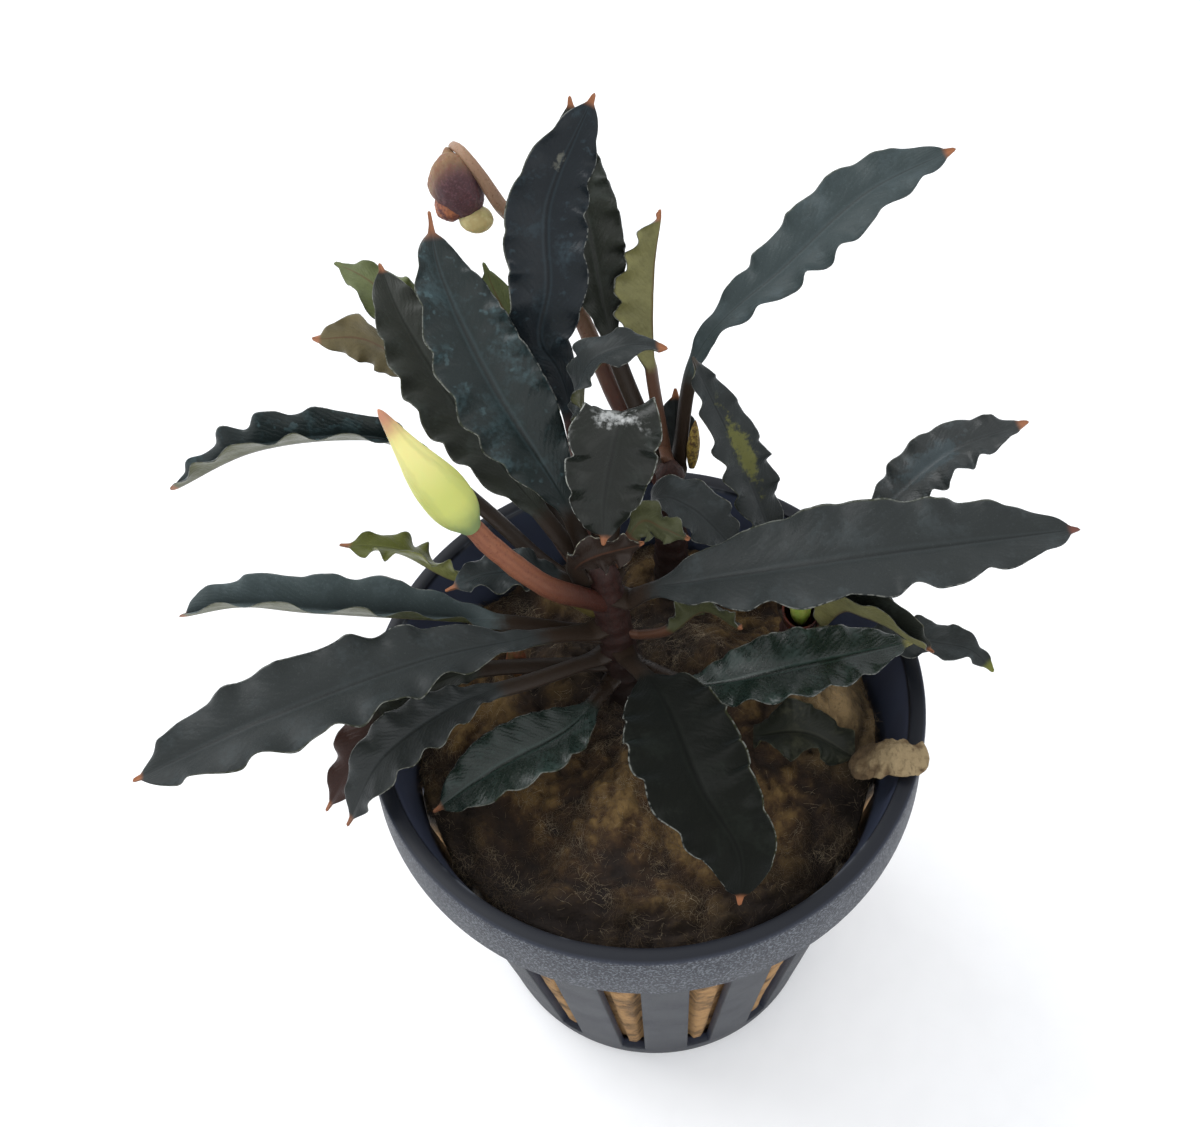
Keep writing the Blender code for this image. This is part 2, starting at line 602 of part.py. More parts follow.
def curve_tube(name, points, radius, group, finish):
    """Make a round tube along a curve, and turn it into a closed mesh."""
    curve = bpy.data.curves.new(name, "CURVE")
    curve.dimensions = "3D"
    curve.bevel_depth = radius * MM
    curve.bevel_resolution = STALK_ROUNDNESS
    curve.use_fill_caps = True
    path = Path(points)
    line = curve.splines.new("POLY")
    line.points.add(STALK_POINTS - 1)
    for i, point in enumerate(line.points):
        point.co = (*(path.at(i / (STALK_POINTS - 1)) * MM), 1.0)
    guide = add_object(name + "_guide", curve, group)
    mesh = bpy.data.meshes.new_from_object(guide.evaluated_get(bpy.context.evaluated_depsgraph_get()))
    bpy.data.objects.remove(guide, do_unlink=True)
    bm = bmesh.new()
    bm.from_mesh(mesh)
    bmesh.ops.remove_doubles(bm, verts=bm.verts[:], dist=MERGE_DISTANCE)
    bm.to_mesh(mesh)
    bm.free()
    mesh.name = name
    mesh.materials.clear()
    mesh.shade_smooth()
    add_object(name, mesh, group, finish)


def build_stalk(spec, group, finish):
    """Make a flower's stalk from its foot on a stem."""
    points = (foot(spec.stem, spec.height, spec.path[0]), *spec.path)
    curve_tube(spec.name, points, spec.radius, group, finish)


def turned(name, profile, ends, sides, group, finish):
    """Make a turned body between two points from shares of the length and radii, tip first."""
    low, high = (Vector(end) for end in ends)
    axis = high - low
    line = profile_mesh(name, [(radius, share * axis.length) for share, radius in profile])
    body = add_object(name, line, group, finish)
    add_turn(body, sides)
    body.location = low * MM
    body.rotation_euler = axis.to_track_quat("Z", "Y").to_euler()


def ellipsoid(name, centre, radii, group, finish):
    """Make an egg-shaped body from a sphere."""
    bm = bmesh.new()
    bmesh.ops.create_icosphere(bm, subdivisions=EGG_SUBDIVISIONS, radius=MM)
    bmesh.ops.scale(bm, vec=radii, verts=bm.verts[:])
    bmesh.ops.translate(bm, vec=Vector(centre) * MM, verts=bm.verts[:])
    mesh = bpy.data.meshes.new(name)
    bm.to_mesh(mesh)
    bm.free()
    mesh.shade_smooth()
    add_object(name, mesh, group, finish)


def build_bud(group):
    """Make the closed bud on its stalk."""
    build_stalk(BUD_STALK, group, SALMON_STALK)
    turned("bud", BUD_PROFILE, BUD_ENDS, BUD_SIDES, group, LIME_BUD)


def build_hood(group):
    """Make the spent flower's hood, a hollow egg open downwards."""
    bm = bmesh.new()
    bmesh.ops.create_uvsphere(bm, u_segments=HOOD_SIDES, v_segments=HOOD_RINGS, radius=HOOD_RADIUS * MM)
    lower = [vert for vert in bm.verts if vert.co.z < HOOD_CUT * HOOD_RADIUS * MM]
    bmesh.ops.delete(bm, geom=lower, context="VERTS")
    bmesh.ops.scale(bm, vec=HOOD_STRETCH, verts=bm.verts[:])
    mesh = bpy.data.meshes.new("spent_flower_hood")
    bm.to_mesh(mesh)
    bm.free()
    mesh.shade_smooth()
    hood = add_object("spent_flower_hood", mesh, group, TAN_HOOD)
    wall = hood.modifiers.new("wall", "SOLIDIFY")
    wall.thickness = HOOD_WALL * MM
    hood.location = Vector(HOOD_CENTRE) * MM
    hood.rotation_euler = [math.radians(angle) for angle in HOOD_TILT]


def build_spent_flower(group):
    """Make the nodding spent flower: stalk, hood, fruit and pale lobe."""
    build_stalk(SPENT_STALK, group, FADED_STALK)
    build_hood(group)
    ellipsoid("spent_flower_fruit", FRUIT_CENTRE, FRUIT_RADII, group, PURPLE_FRUIT)
    ellipsoid("spent_flower_lobe", LOBE_CENTRE, LOBE_RADII, group, PALE_LOBE)


def build_sheath(group):
    """Make the open sheath round the young bud."""
    low, high = SHEATH_RADII
    profile = ((SHEATH_FLOOR, 0.0), (SHEATH_FLOOR, low - SHEATH_WALL), (1.0, high - SHEATH_WALL),
               (1.0, high), (0.0, low), (0.0, 0.0))
    turned("young_bud_sheath", profile, SHEATH_ENDS, BUD_SIDES, group, RED_SHEATH)


def build_growth(name, shape, growth, group, finish):
    """Make a small pointed body between two ends, from shares of its greatest radius."""
    profile = [(share, part * growth.radius) for share, part in shape]
    turned(name, profile, (growth.low, growth.high), CONE_SIDES, group, finish)


def build_small_growths(group):
    """Make the young bud in its sheath, the bract and the old shoot."""
    build_sheath(group)
    build_growth("young_bud", SPINDLE, YOUNG_BUD, group, GREEN_BUD)
    build_growth("bract", SPIKE, BRACT, group, GOLDEN_BRACT)
    build_growth("old_shoot", SPINDLE, OLD_SHOOT, group, RED_SHOOT)


def main():
    """Build the whole plant in its pot."""
    clear_scene()
    group = make_collection(COLLECTION)
    cutters = make_collection("cutters")
    build_pot(group, cutters)
    build_wool(group, cutters)
    build_stems(group)
    build_leaves(group)
    build_flap(group)
    build_decayed_leaf(group)
    build_bud(group)
    build_spent_flower(group)
    build_small_growths(group)


main()
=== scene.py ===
"""Dresses a small potted aquarium plant: rippled leaves, a bud, a spent flower, wool and a net pot.

Sizes are in millimetres and are turned into metres by MM. The origin is the centre of the pot's
underside, +Z is up and -Y is the front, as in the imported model.
"""
from __future__ import annotations

import logging
import math
from dataclasses import dataclass, replace
from enum import Enum
from functools import partial
from typing import Callable, Iterable, Sequence

import bmesh
import bpy
from mathutils import Matrix, Vector, noise


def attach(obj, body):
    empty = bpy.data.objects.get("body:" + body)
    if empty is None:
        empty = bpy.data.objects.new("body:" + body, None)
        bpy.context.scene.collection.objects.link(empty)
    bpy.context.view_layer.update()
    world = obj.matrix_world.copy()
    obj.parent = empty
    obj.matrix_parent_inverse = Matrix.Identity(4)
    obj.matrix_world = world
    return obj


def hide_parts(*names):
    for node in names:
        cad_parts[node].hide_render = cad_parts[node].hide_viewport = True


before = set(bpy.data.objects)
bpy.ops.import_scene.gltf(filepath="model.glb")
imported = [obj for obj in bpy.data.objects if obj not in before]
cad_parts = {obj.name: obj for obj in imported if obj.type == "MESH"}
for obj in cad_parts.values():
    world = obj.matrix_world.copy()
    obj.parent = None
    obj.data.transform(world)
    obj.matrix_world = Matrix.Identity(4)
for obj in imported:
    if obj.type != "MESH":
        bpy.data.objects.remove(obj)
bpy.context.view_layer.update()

MM = 0.001
BODY = "root"
UP = Vector((0.0, 0.0, 1.0))
MERGE = 1e-7

Colour = tuple[float, float, float]
Point = tuple[float, float, float]
Number = "float | Signal"

log = logging.getLogger("potted_plant")


class Signal:
    """A value in a node tree that can be used in sums like a plain number."""

    def __init__(self, tree: bpy.types.NodeTree, socket: bpy.types.NodeSocket) -> None:
        """Keep the tree and the output socket that the value leaves from."""
        self.tree = tree
        self.socket = socket

    def __add__(self, other: Number) -> "Signal":
        """Return the sum."""
        return calc(self.tree, "ADD", self, other)

    def __sub__(self, other: Number) -> "Signal":
        """Return the difference."""
        return calc(self.tree, "SUBTRACT", self, other)

    def __rsub__(self, other: float) -> "Signal":
        """Return a number less this value."""
        return calc(self.tree, "SUBTRACT", other, self)

    def __mul__(self, other: Number) -> "Signal":
        """Return the product."""
        return calc(self.tree, "MULTIPLY", self, other)

    def __truediv__(self, other: Number) -> "Signal":
        """Return the quotient."""
        return calc(self.tree, "DIVIDE", self, other)

    def __pow__(self, other: Number) -> "Signal":
        """Return this value raised to a power."""
        return calc(self.tree, "POWER", self, other)

    __radd__ = __add__
    __rmul__ = __mul__

    def sin(self) -> "Signal":
        """Return the sine."""
        return calc(self.tree, "SINE", self)

    def cos(self) -> "Signal":
        """Return the cosine."""
        return calc(self.tree, "COSINE", self)

    def size(self) -> "Signal":
        """Return the value without its sign."""
        return calc(self.tree, "ABSOLUTE", self)

    def sign(self) -> "Signal":
        """Return 1 for a positive value and -1 for a negative one."""
        return calc(self.tree, "SIGN", self)

    def above(self, level: Number) -> "Signal":
        """Return 1 where the value is over a level, and 0 elsewhere."""
        return calc(self.tree, "GREATER_THAN", self, level)

    def at_least(self, level: Number) -> "Signal":
        """Return the greater of the value and a level."""
        return calc(self.tree, "MAXIMUM", self, level)

    def kept(self) -> "Signal":
        """Return the value held between 0 and 1."""
        node = calc(self.tree, "ADD", self, 0.0)
        node.socket.node.use_clamp = True
        return node

    def bell(self, width: Number) -> "Signal":
        """Return a bell curve of the value, 1 at zero and falling off over a width."""
        share = self / width
        return calc(self.tree, "EXPONENT", share * share * -1.0)

    def rise(self, low: Number, high: Number) -> "Signal":
        """Return a smooth step from 0 at one level to 1 at another.

        Args:
            low: The level where the step begins.
            high: The level where it ends.

        Returns:
            The step.
        """
        node = self.tree.nodes.new("ShaderNodeMapRange")
        node.interpolation_type = "SMOOTHSTEP"
        wire(self.tree, self, node.inputs["Value"])
        wire(self.tree, low, node.inputs["From Min"])
        wire(self.tree, high, node.inputs["From Max"])
        return Signal(self.tree, node.outputs["Result"])

    def towards(self, other: Number, share: Number) -> "Signal":
        """Return a mix of the value with another one."""
        return self + (other - self if isinstance(other, Signal) else (self * -1.0 + other)) * share


def wire(tree: bpy.types.NodeTree, value: object, socket: bpy.types.NodeSocket) -> None:
    """Join a signal to a socket, or set the socket to a plain value."""
    if isinstance(value, Signal):
        tree.links.new(value.socket, socket)
    else:
        socket.default_value = value


def calc(tree: bpy.types.NodeTree, operation: str, *values: Number) -> Signal:
    """Return the result of a math node.

    Args:
        tree: The tree that gets the node.
        operation: Blender's name for the sum.
        values: The numbers and signals that go in, in order.

    Returns:
        The node's output.
    """
    node = tree.nodes.new("ShaderNodeMath")
    node.operation = operation
    for value, socket in zip(values, node.inputs):
        wire(tree, value, socket)
    return Signal(tree, node.outputs[0])


def calc_vector(tree: bpy.types.NodeTree, operation: str, *values: object) -> Signal:
    """Return the result of a vector math node.

    Args:
        tree: The tree that gets the node.
        operation: Blender's name for the sum.
        values: The vectors that go in, in order. For SCALE the second one is a number.

    Returns:
        The node's output, a number for DOT_PRODUCT and LENGTH and a vector for the rest.
    """
    node = tree.nodes.new("ShaderNodeVectorMath")
    node.operation = operation
    sockets = [node.inputs[0], node.inputs["Scale"]] if operation == "SCALE" else list(node.inputs)
    for value, socket in zip(values, sockets):
        wire(tree, value, socket)
    output = "Value" if operation in ("DOT_PRODUCT", "LENGTH") else "Vector"
    return Signal(tree, node.outputs[output])


class NodeForm:
    """A Geometry Nodes tree that is built in code and then run on one mesh at a time."""

    def __init__(self, name: str, inputs: Iterable[tuple[str, str, object]]) -> None:
        """Make the tree with its named inputs.

        Args:
            name: The tree's name.
            inputs: Name, socket type and usual value of each input after the geometry.
        """
        self.tree = bpy.data.node_groups.new(name, "GeometryNodeTree")
        face = self.tree.interface
        face.new_socket("Geometry", in_out="INPUT", socket_type="NodeSocketGeometry")
        for label, kind, value in inputs:
            socket = face.new_socket(label, in_out="INPUT", socket_type=kind)
            if value is not None:
                socket.default_value = value
        face.new_socket("Geometry", in_out="OUTPUT", socket_type="NodeSocketGeometry")
        self.given = self.tree.nodes.new("NodeGroupInput")

    def node(self, kind: str, **settings: object) -> bpy.types.Node:
        """Return a new node with some of its settings changed."""
        node = self.tree.nodes.new(kind)
        for name, value in settings.items():
            setattr(node, name, value)
        return node

    def value(self, name: str) -> Signal:
        """Return one of the tree's named inputs."""
        return Signal(self.tree, self.given.outputs[name])

    def feed(self, node: bpy.types.Node, **values: object) -> bpy.types.Node:
        """Join values to a node's inputs, named with underscores for spaces."""
        for name, value in values.items():
            wire(self.tree, value, node.inputs[name.replace("_", " ")])
        return node

    def out(self, node: bpy.types.Node, name: str | int = 0) -> Signal:
        """Return one output of a node."""
        return Signal(self.tree, node.outputs[name])

    def store(self, geometry: Signal, name: str, value: Signal) -> Signal:
        """Store a number on every point of a mesh under a name, and return the mesh."""
        node = self.node("GeometryNodeStoreNamedAttribute", data_type="FLOAT", domain="POINT")
        self.feed(node, Geometry=geometry, Name=name, Value=value)
        return self.out(node)

    def end(self, geometry: Signal) -> None:
        """Shade the result smooth, make its instances real and give it its material.

        Args:
            geometry: The tree's finished geometry.
        """
        smooth = self.feed(self.node("GeometryNodeSetShadeSmooth"), Geometry=geometry)
        real = self.feed(self.node("GeometryNodeRealizeInstances"), Geometry=self.out(smooth))
        dressed = self.node("GeometryNodeSetMaterial")
        self.feed(dressed, Geometry=self.out(real), Material=self.value("Material"))
        self.tree.links.new(dressed.outputs[0], self.node("NodeGroupOutput").inputs[0])

    def run(self, name: str, host: bpy.types.Mesh, **values: object) -> bpy.types.Object:
        """Run the tree on a mesh and return the result as an object with a plain mesh.

        Args:
            name: The new object's name.
            host: The mesh that goes in. It is removed afterwards.
            values: The tree's inputs, named with underscores for spaces.

        Returns:
            The new object, at the origin and with no modifier.
        """
        guide = bpy.data.objects.new(name + "_guide", host)
        bpy.context.scene.collection.objects.link(guide)
        modifier = guide.modifiers.new("form", "NODES")
        modifier.node_group = self.tree
        for item in self.tree.interface.items_tree:
            label = item.name.replace(" ", "_")
            if item.in_out == "INPUT" and label in values:
                modifier[item.identifier] = values[label]
        return frozen(guide, name)


def frozen(guide: bpy.types.Object, name: str) -> bpy.types.Object:
    """Return an object with the evaluated mesh of a guide, which is removed.

    Args:
        guide: An object whose modifiers make the shape.
        name: The new object's name.

    Returns:
        The new object, with a plain mesh.
    """
    graph = bpy.context.evaluated_depsgraph_get()
    mesh = bpy.data.meshes.new_from_object(guide.evaluated_get(graph))
    mesh.name = name
    old = guide.data
    bpy.data.objects.remove(guide, do_unlink=True)
    if isinstance(old, bpy.types.Mesh):
        bpy.data.meshes.remove(old)
    return placed(name, mesh)


def bounded(value: float) -> float:
    """Return a value held between 0 and 1."""
    return min(max(value, 0.0), 1.0)


def placed(name: str, mesh: bpy.types.Mesh) -> bpy.types.Object:
    """Return a new object at the origin, linked to the scene."""
    thing = bpy.data.objects.new(name, mesh)
    bpy.context.scene.collection.objects.link(thing)
    return thing


def mesh_from(bm: bmesh.types.BMesh, name: str, smooth: bool = False) -> bpy.types.Mesh:
    """Return a new mesh with the contents of a bmesh, which is freed.

    Args:
        bm: The shape, in metres.
        name: The mesh's name.
        smooth: Whether its faces are shaded smooth.

    Returns:
        The mesh.
    """
    mesh = bpy.data.meshes.new(name)
    bm.to_mesh(mesh)
    bm.free()
    if smooth:
        mesh.shade_smooth()
    return mesh


def dress(thing: bpy.types.Object, material: bpy.types.Material, slot: str, *nodes: str) -> None:
    """Give a piece its material, then register it."""
    thing.data.materials.append(material)
    register(thing, slot, *nodes)


def register(thing: bpy.types.Object, slot: str, *nodes: str) -> None:
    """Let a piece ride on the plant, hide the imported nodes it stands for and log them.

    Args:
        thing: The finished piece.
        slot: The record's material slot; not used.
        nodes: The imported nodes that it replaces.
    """
    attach(thing, BODY)
    if nodes:
        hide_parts(*nodes)
    log.info("%s: %d faces, for %s", thing.name, len(thing.data.polygons), ", ".join(nodes) or "no node")


class Route:
    """A smooth curve through points in millimetres, measured by its own length."""

    SAMPLES = 160

    def __init__(self, points: Sequence[Point | Vector]) -> None:
        """Lay a Catmull-Rom curve through the points.

        Args:
            points: The points, from the foot to the tip.
        """
        self.points = [Vector(point) for point in points]
        self.table = [self.spline(i / self.SAMPLES) for i in range(self.SAMPLES + 1)]
        self.lengths = [0.0]
        for start, end in zip(self.table, self.table[1:]):
            self.lengths.append(self.lengths[-1] + (end - start).length)
        self.length = self.lengths[-1]

    def spline(self, u: float) -> Vector:
        """Return the place at u, from 0 to 1, with equal shares between the points.

        Args:
            u: The share of the way, counted in points.

        Returns:
            The place.
        """
        spans = len(self.points) - 1
        k = min(int(u * spans), spans - 1)
        t = u * spans - k
        p1, p2 = self.points[k], self.points[k + 1]
        p0 = self.points[k - 1] if k > 0 else p1 * 2 - p2
        p3 = self.points[k + 2] if k + 2 <= spans else p2 * 2 - p1
        return 0.5 * (2 * p1 + (p2 - p0) * t + (2 * p0 - 5 * p1 + 4 * p2 - p3) * t * t
                      + (3 * p1 - p0 - 3 * p2 + p3) * t ** 3)

    def at(self, s: float) -> Vector:
        """Return the place at a share s of the length.

        Args:
            s: The share, from 0 to 1.

        Returns:
            The place.
        """
        target = bounded(s) * self.length
        k = 0
        while k < self.SAMPLES - 1 and self.lengths[k + 1] < target:
            k += 1
        span = self.lengths[k + 1] - self.lengths[k]
        return self.table[k].lerp(self.table[k + 1], (target - self.lengths[k]) / span)

    def frame(self, s: float) -> tuple[Vector, Vector, Vector]:
        """Return the direction, the level side and the upward direction at a share s.

        Args:
            s: The share of the length.

        Returns:
            Three directions at right angles.
        """
        step = 0.01
        along = (self.at(s + step) - self.at(s - step)).normalized()
        side = UP.cross(along)
        if side.length < step:
            side = Vector((1.0, 0.0, 0.0))
        side.normalize()
        return along, side, along.cross(side)

    def line_mesh(self, name: str, steps: int) -> bpy.types.Mesh:
        """Return the curve as a mesh of joined points, in metres."""
        mesh = bpy.data.meshes.new(name)
        places = [self.at(i / steps) * MM for i in range(steps + 1)]
        mesh.from_pydata(places, [(i, i + 1) for i in range(steps)], [])
        return mesh


def ring_mesh(name: str, rings: Sequence[Sequence[Vector]], marks: dict[str, Sequence[float]] | None = None,
              closed: bool = True) -> bpy.types.Mesh:
    """Join rings of equal count into one smooth body, given in millimetres.

    Args:
        name: The mesh's name.
        rings: The rings from one end to the other.
        marks: Numbers to store on the points, by name, one for each point in ring order.
        closed: Whether both ends are closed with a fan.

    Returns:
        The mesh, in metres, with its faces pointing out.
    """
    bm = bmesh.new()
    layers = {key: bm.verts.layers.float.new(key) for key in marks or {}}
    loops = [[bm.verts.new(Vector(point) * MM) for point in ring] for ring in rings]
    for key, layer in layers.items():
        for vert, value in zip((vert for loop in loops for vert in loop), marks[key]):
            vert[layer] = value
    count = len(loops[0])
    for lower, upper in zip(loops, loops[1:]):
        for i in range(count):
            j = (i + 1) % count
            bm.faces.new((lower[i], lower[j], upper[j], upper[i]))
    if closed:
        for loop in (loops[0], loops[-1]):
            middle = bm.verts.new(sum((vert.co for vert in loop), Vector()) / count)
            for layer in layers.values():
                middle[layer] = loop[0][layer]
            for i in range(count):
                bm.faces.new((loop[i], loop[(i + 1) % count], middle))
    bmesh.ops.recalc_face_normals(bm, faces=bm.faces[:])
    return mesh_from(bm, name, smooth=True)


def smooth_through(points: Sequence[tuple[float, float]], s: float) -> float:
    """Return the height at s of a smooth curve that passes through points.

    Args:
        points: Place and height of each point, by rising place.
        s: The place, between those of the first and the last point.

    Returns:
        The height.
    """
    last = len(points) - 1
    i = min(max(k for k in range(last) if points[k][0] <= s), last - 1)
    before, here, there, after = (points[min(max(i + k, 0), last)] for k in (-1, 0, 1, 2))
    gap = there[0] - here[0]
    leave = (there[1] - before[1]) / (there[0] - before[0]) * gap
    arrive = (after[1] - here[1]) / (after[0] - here[0]) * gap
    t = (s - here[0]) / gap
    return ((here[1] * (1 + 2 * t) + leave * t) * (1 - t) ** 2
            + (there[1] * (3 - 2 * t) + arrive * (t - 1)) * t * t)


class Coat:
    """One Principled material that is built up from signals."""

    def __init__(self, name: str, roughness: float, sheen: float = 0.0,
                 sheen_tint: Colour = (1.0, 1.0, 1.0), specular: float = 0.5,
                 subsurface: float = 0.0) -> None:
        """Start the material with the values that are the same all over.

        Args:
            name: The material's name.
            roughness: Its usual roughness.
            sheen: The strength of a velvety sheen.
            sheen_tint: The colour of that sheen.
            specular: The strength of its reflections.
            subsurface: How much light goes in and comes out again.
        """
        self.material = bpy.data.materials.new(name)
        self.material.use_nodes = True
        self.tree = self.material.node_tree
        self.shader = self.tree.nodes["Principled BSDF"]
        inputs = self.shader.inputs
        inputs["Roughness"].default_value = roughness
        inputs["Sheen Weight"].default_value = sheen
        inputs["Sheen Tint"].default_value = (*sheen_tint, 1.0)
        inputs["Specular IOR Level"].default_value = specular
        inputs["Subsurface Weight"].default_value = subsurface
        inputs["Subsurface Scale"].default_value = MM
        place = self.tree.nodes.new("ShaderNodeTexCoord")
        self.place = Signal(self.tree, place.outputs["Object"])

    def mark(self, name: str) -> Signal:
        """Return a number that the mesh stores on its points."""
        node = self.tree.nodes.new("ShaderNodeAttribute")
        node.attribute_name = name
        return Signal(self.tree, node.outputs["Fac"])

    def axis(self, name: str) -> Signal:
        """Return one coordinate, X, Y or Z, in millimetres."""
        node = self.tree.nodes.new("ShaderNodeSeparateXYZ")
        wire(self.tree, self.place, node.inputs[0])
        return Signal(self.tree, node.outputs[name]) * (1 / MM)

    def distance(self, x: float = 0.0, y: float = 0.0) -> Signal:
        """Return the level distance from a place, or from the pot's axis, in millimetres."""
        sideways, ahead = self.axis("X") - x, self.axis("Y") - y
        return (sideways * sideways + ahead * ahead) ** 0.5

    def grain(self, size: float, detail: float = 3.0, stretch: Colour = (1.0, 1.0, 1.0),
              shift: float = 0.0, sharpness: float = 0.5) -> Signal:
        """Return a cloudy noise from 0 to 1.

        Args:
            size: The size of its patches, in millimetres.
            detail: How many finer layers it has.
            stretch: The scale along X, Y and Z.
            shift: Moves the pattern, so that two pieces differ.
            sharpness: The strength of the finer layers.

        Returns:
            The noise.
        """
        mapping = self.tree.nodes.new("ShaderNodeMapping")
        wire(self.tree, self.place, mapping.inputs["Vector"])
        mapping.inputs["Scale"].default_value = stretch
        mapping.inputs["Location"].default_value = (shift, shift * 0.7, -shift)
        node = self.tree.nodes.new("ShaderNodeTexNoise")
        self.tree.links.new(mapping.outputs[0], node.inputs["Vector"])
        node.inputs["Scale"].default_value = 1 / (size * MM)
        node.inputs["Detail"].default_value = detail
        node.inputs["Roughness"].default_value = sharpness
        return Signal(self.tree, node.outputs[0])

    def cells(self, size: float) -> Signal:
        """Return a pattern of small cells, as the distance from their middles."""
        node = self.tree.nodes.new("ShaderNodeTexVoronoi")
        wire(self.tree, self.place, node.inputs["Vector"])
        node.inputs["Scale"].default_value = 1 / (size * MM)
        return Signal(self.tree, node.outputs["Distance"])

    def mix(self, low: object, high: object, share: Signal) -> Signal:
        """Return a blend of two colours.

        Args:
            low: The colour at a share of 0, plain or a signal.
            high: The colour at a share of 1.
            share: How much of the second colour there is.

        Returns:
            The blend.
        """
        node = self.tree.nodes.new("ShaderNodeMix")
        node.data_type = "RGBA"
        wire(self.tree, share, node.inputs["Factor"])
        sockets = [socket for socket in node.inputs if socket.type == "RGBA"]
        for colour, socket in zip((low, high), sockets):
            wire(self.tree, colour if isinstance(colour, Signal) else (*colour, 1.0), socket)
        return Signal(self.tree, next(out for out in node.outputs if out.type == "RGBA"))

    def paint(self, colour: Signal) -> None:
        """Use a colour signal as the surface's colour."""
        wire(self.tree, colour, self.shader.inputs["Base Color"])

    def rough(self, value: Signal) -> None:
        """Use a signal as the surface's roughness."""
        wire(self.tree, value, self.shader.inputs["Roughness"])

    def relief(self, height: Signal, depth: float, strength: float = 1.0) -> None:
        """Raise and sink the surface by a signal from 0 to 1, to a depth in millimetres.

        Args:
            height: How raised the surface is.
            depth: The depth at a height of 1.
            strength: The strength of the effect, from 0 to 1.
        """
        node = self.tree.nodes.new("ShaderNodeBump")
        node.inputs["Strength"].default_value = strength
        node.inputs["Distance"].default_value = depth * MM
        wire(self.tree, height, node.inputs["Height"])
        self.tree.links.new(node.outputs[0], self.shader.inputs["Normal"])


def toned(colour: Colour, share: float) -> Colour:
    """Return a colour made darker or lighter by a factor."""
    return tuple(part * share for part in colour)


class LeafHue(Enum):
    """The looks that the leaves' upper sides have: base colour, patch colour and patch share."""

    DARK = ((0.0100, 0.0135, 0.0135), (0.030, 0.043, 0.045), 0.40)
    BLUE = ((0.0080, 0.0115, 0.0145), (0.026, 0.043, 0.053), 0.38)
    TEAL = ((0.0110, 0.0175, 0.0170), (0.036, 0.063, 0.069), 0.45)
    GREY = ((0.0235, 0.0270, 0.0265), (0.036, 0.043, 0.044), 0.42)
    PALE = ((0.0380, 0.0510, 0.0520), (0.052, 0.070, 0.074), 0.45)
    OLIVE = ((0.0200, 0.0225, 0.0170), (0.036, 0.043, 0.036), 0.42)
    MOSS = ((0.0070, 0.0085, 0.0055), (0.016, 0.020, 0.016), 0.40)
    SOOT = ((0.0040, 0.0046, 0.0030), (0.009, 0.011, 0.008), 0.40)
    # A lighter copy of the pale hue, for a folded leaf that lies in shade: painted light.
    LIT_PALE = ((0.0660, 0.0850, 0.0860), (0.090, 0.115, 0.119), 0.45)
    GREEN = ((0.0075, 0.0150, 0.0105), (0.028, 0.050, 0.042), 0.45)
    YOUNG = ((0.0850, 0.0950, 0.0160), (0.150, 0.165, 0.045), 0.55)
    ROTTEN = ((0.0130, 0.0150, 0.0090), (0.050, 0.050, 0.030), 0.50)


@dataclass(frozen=True)
class PatchOrGlare:
    """A patch of another colour on a leaf, used once as a painted glare: where it is, how far it reaches
    and its colour.
    """

    along: float
    across: float
    length: float
    breadth: float
    colour: Colour
    strength: float = 1.0


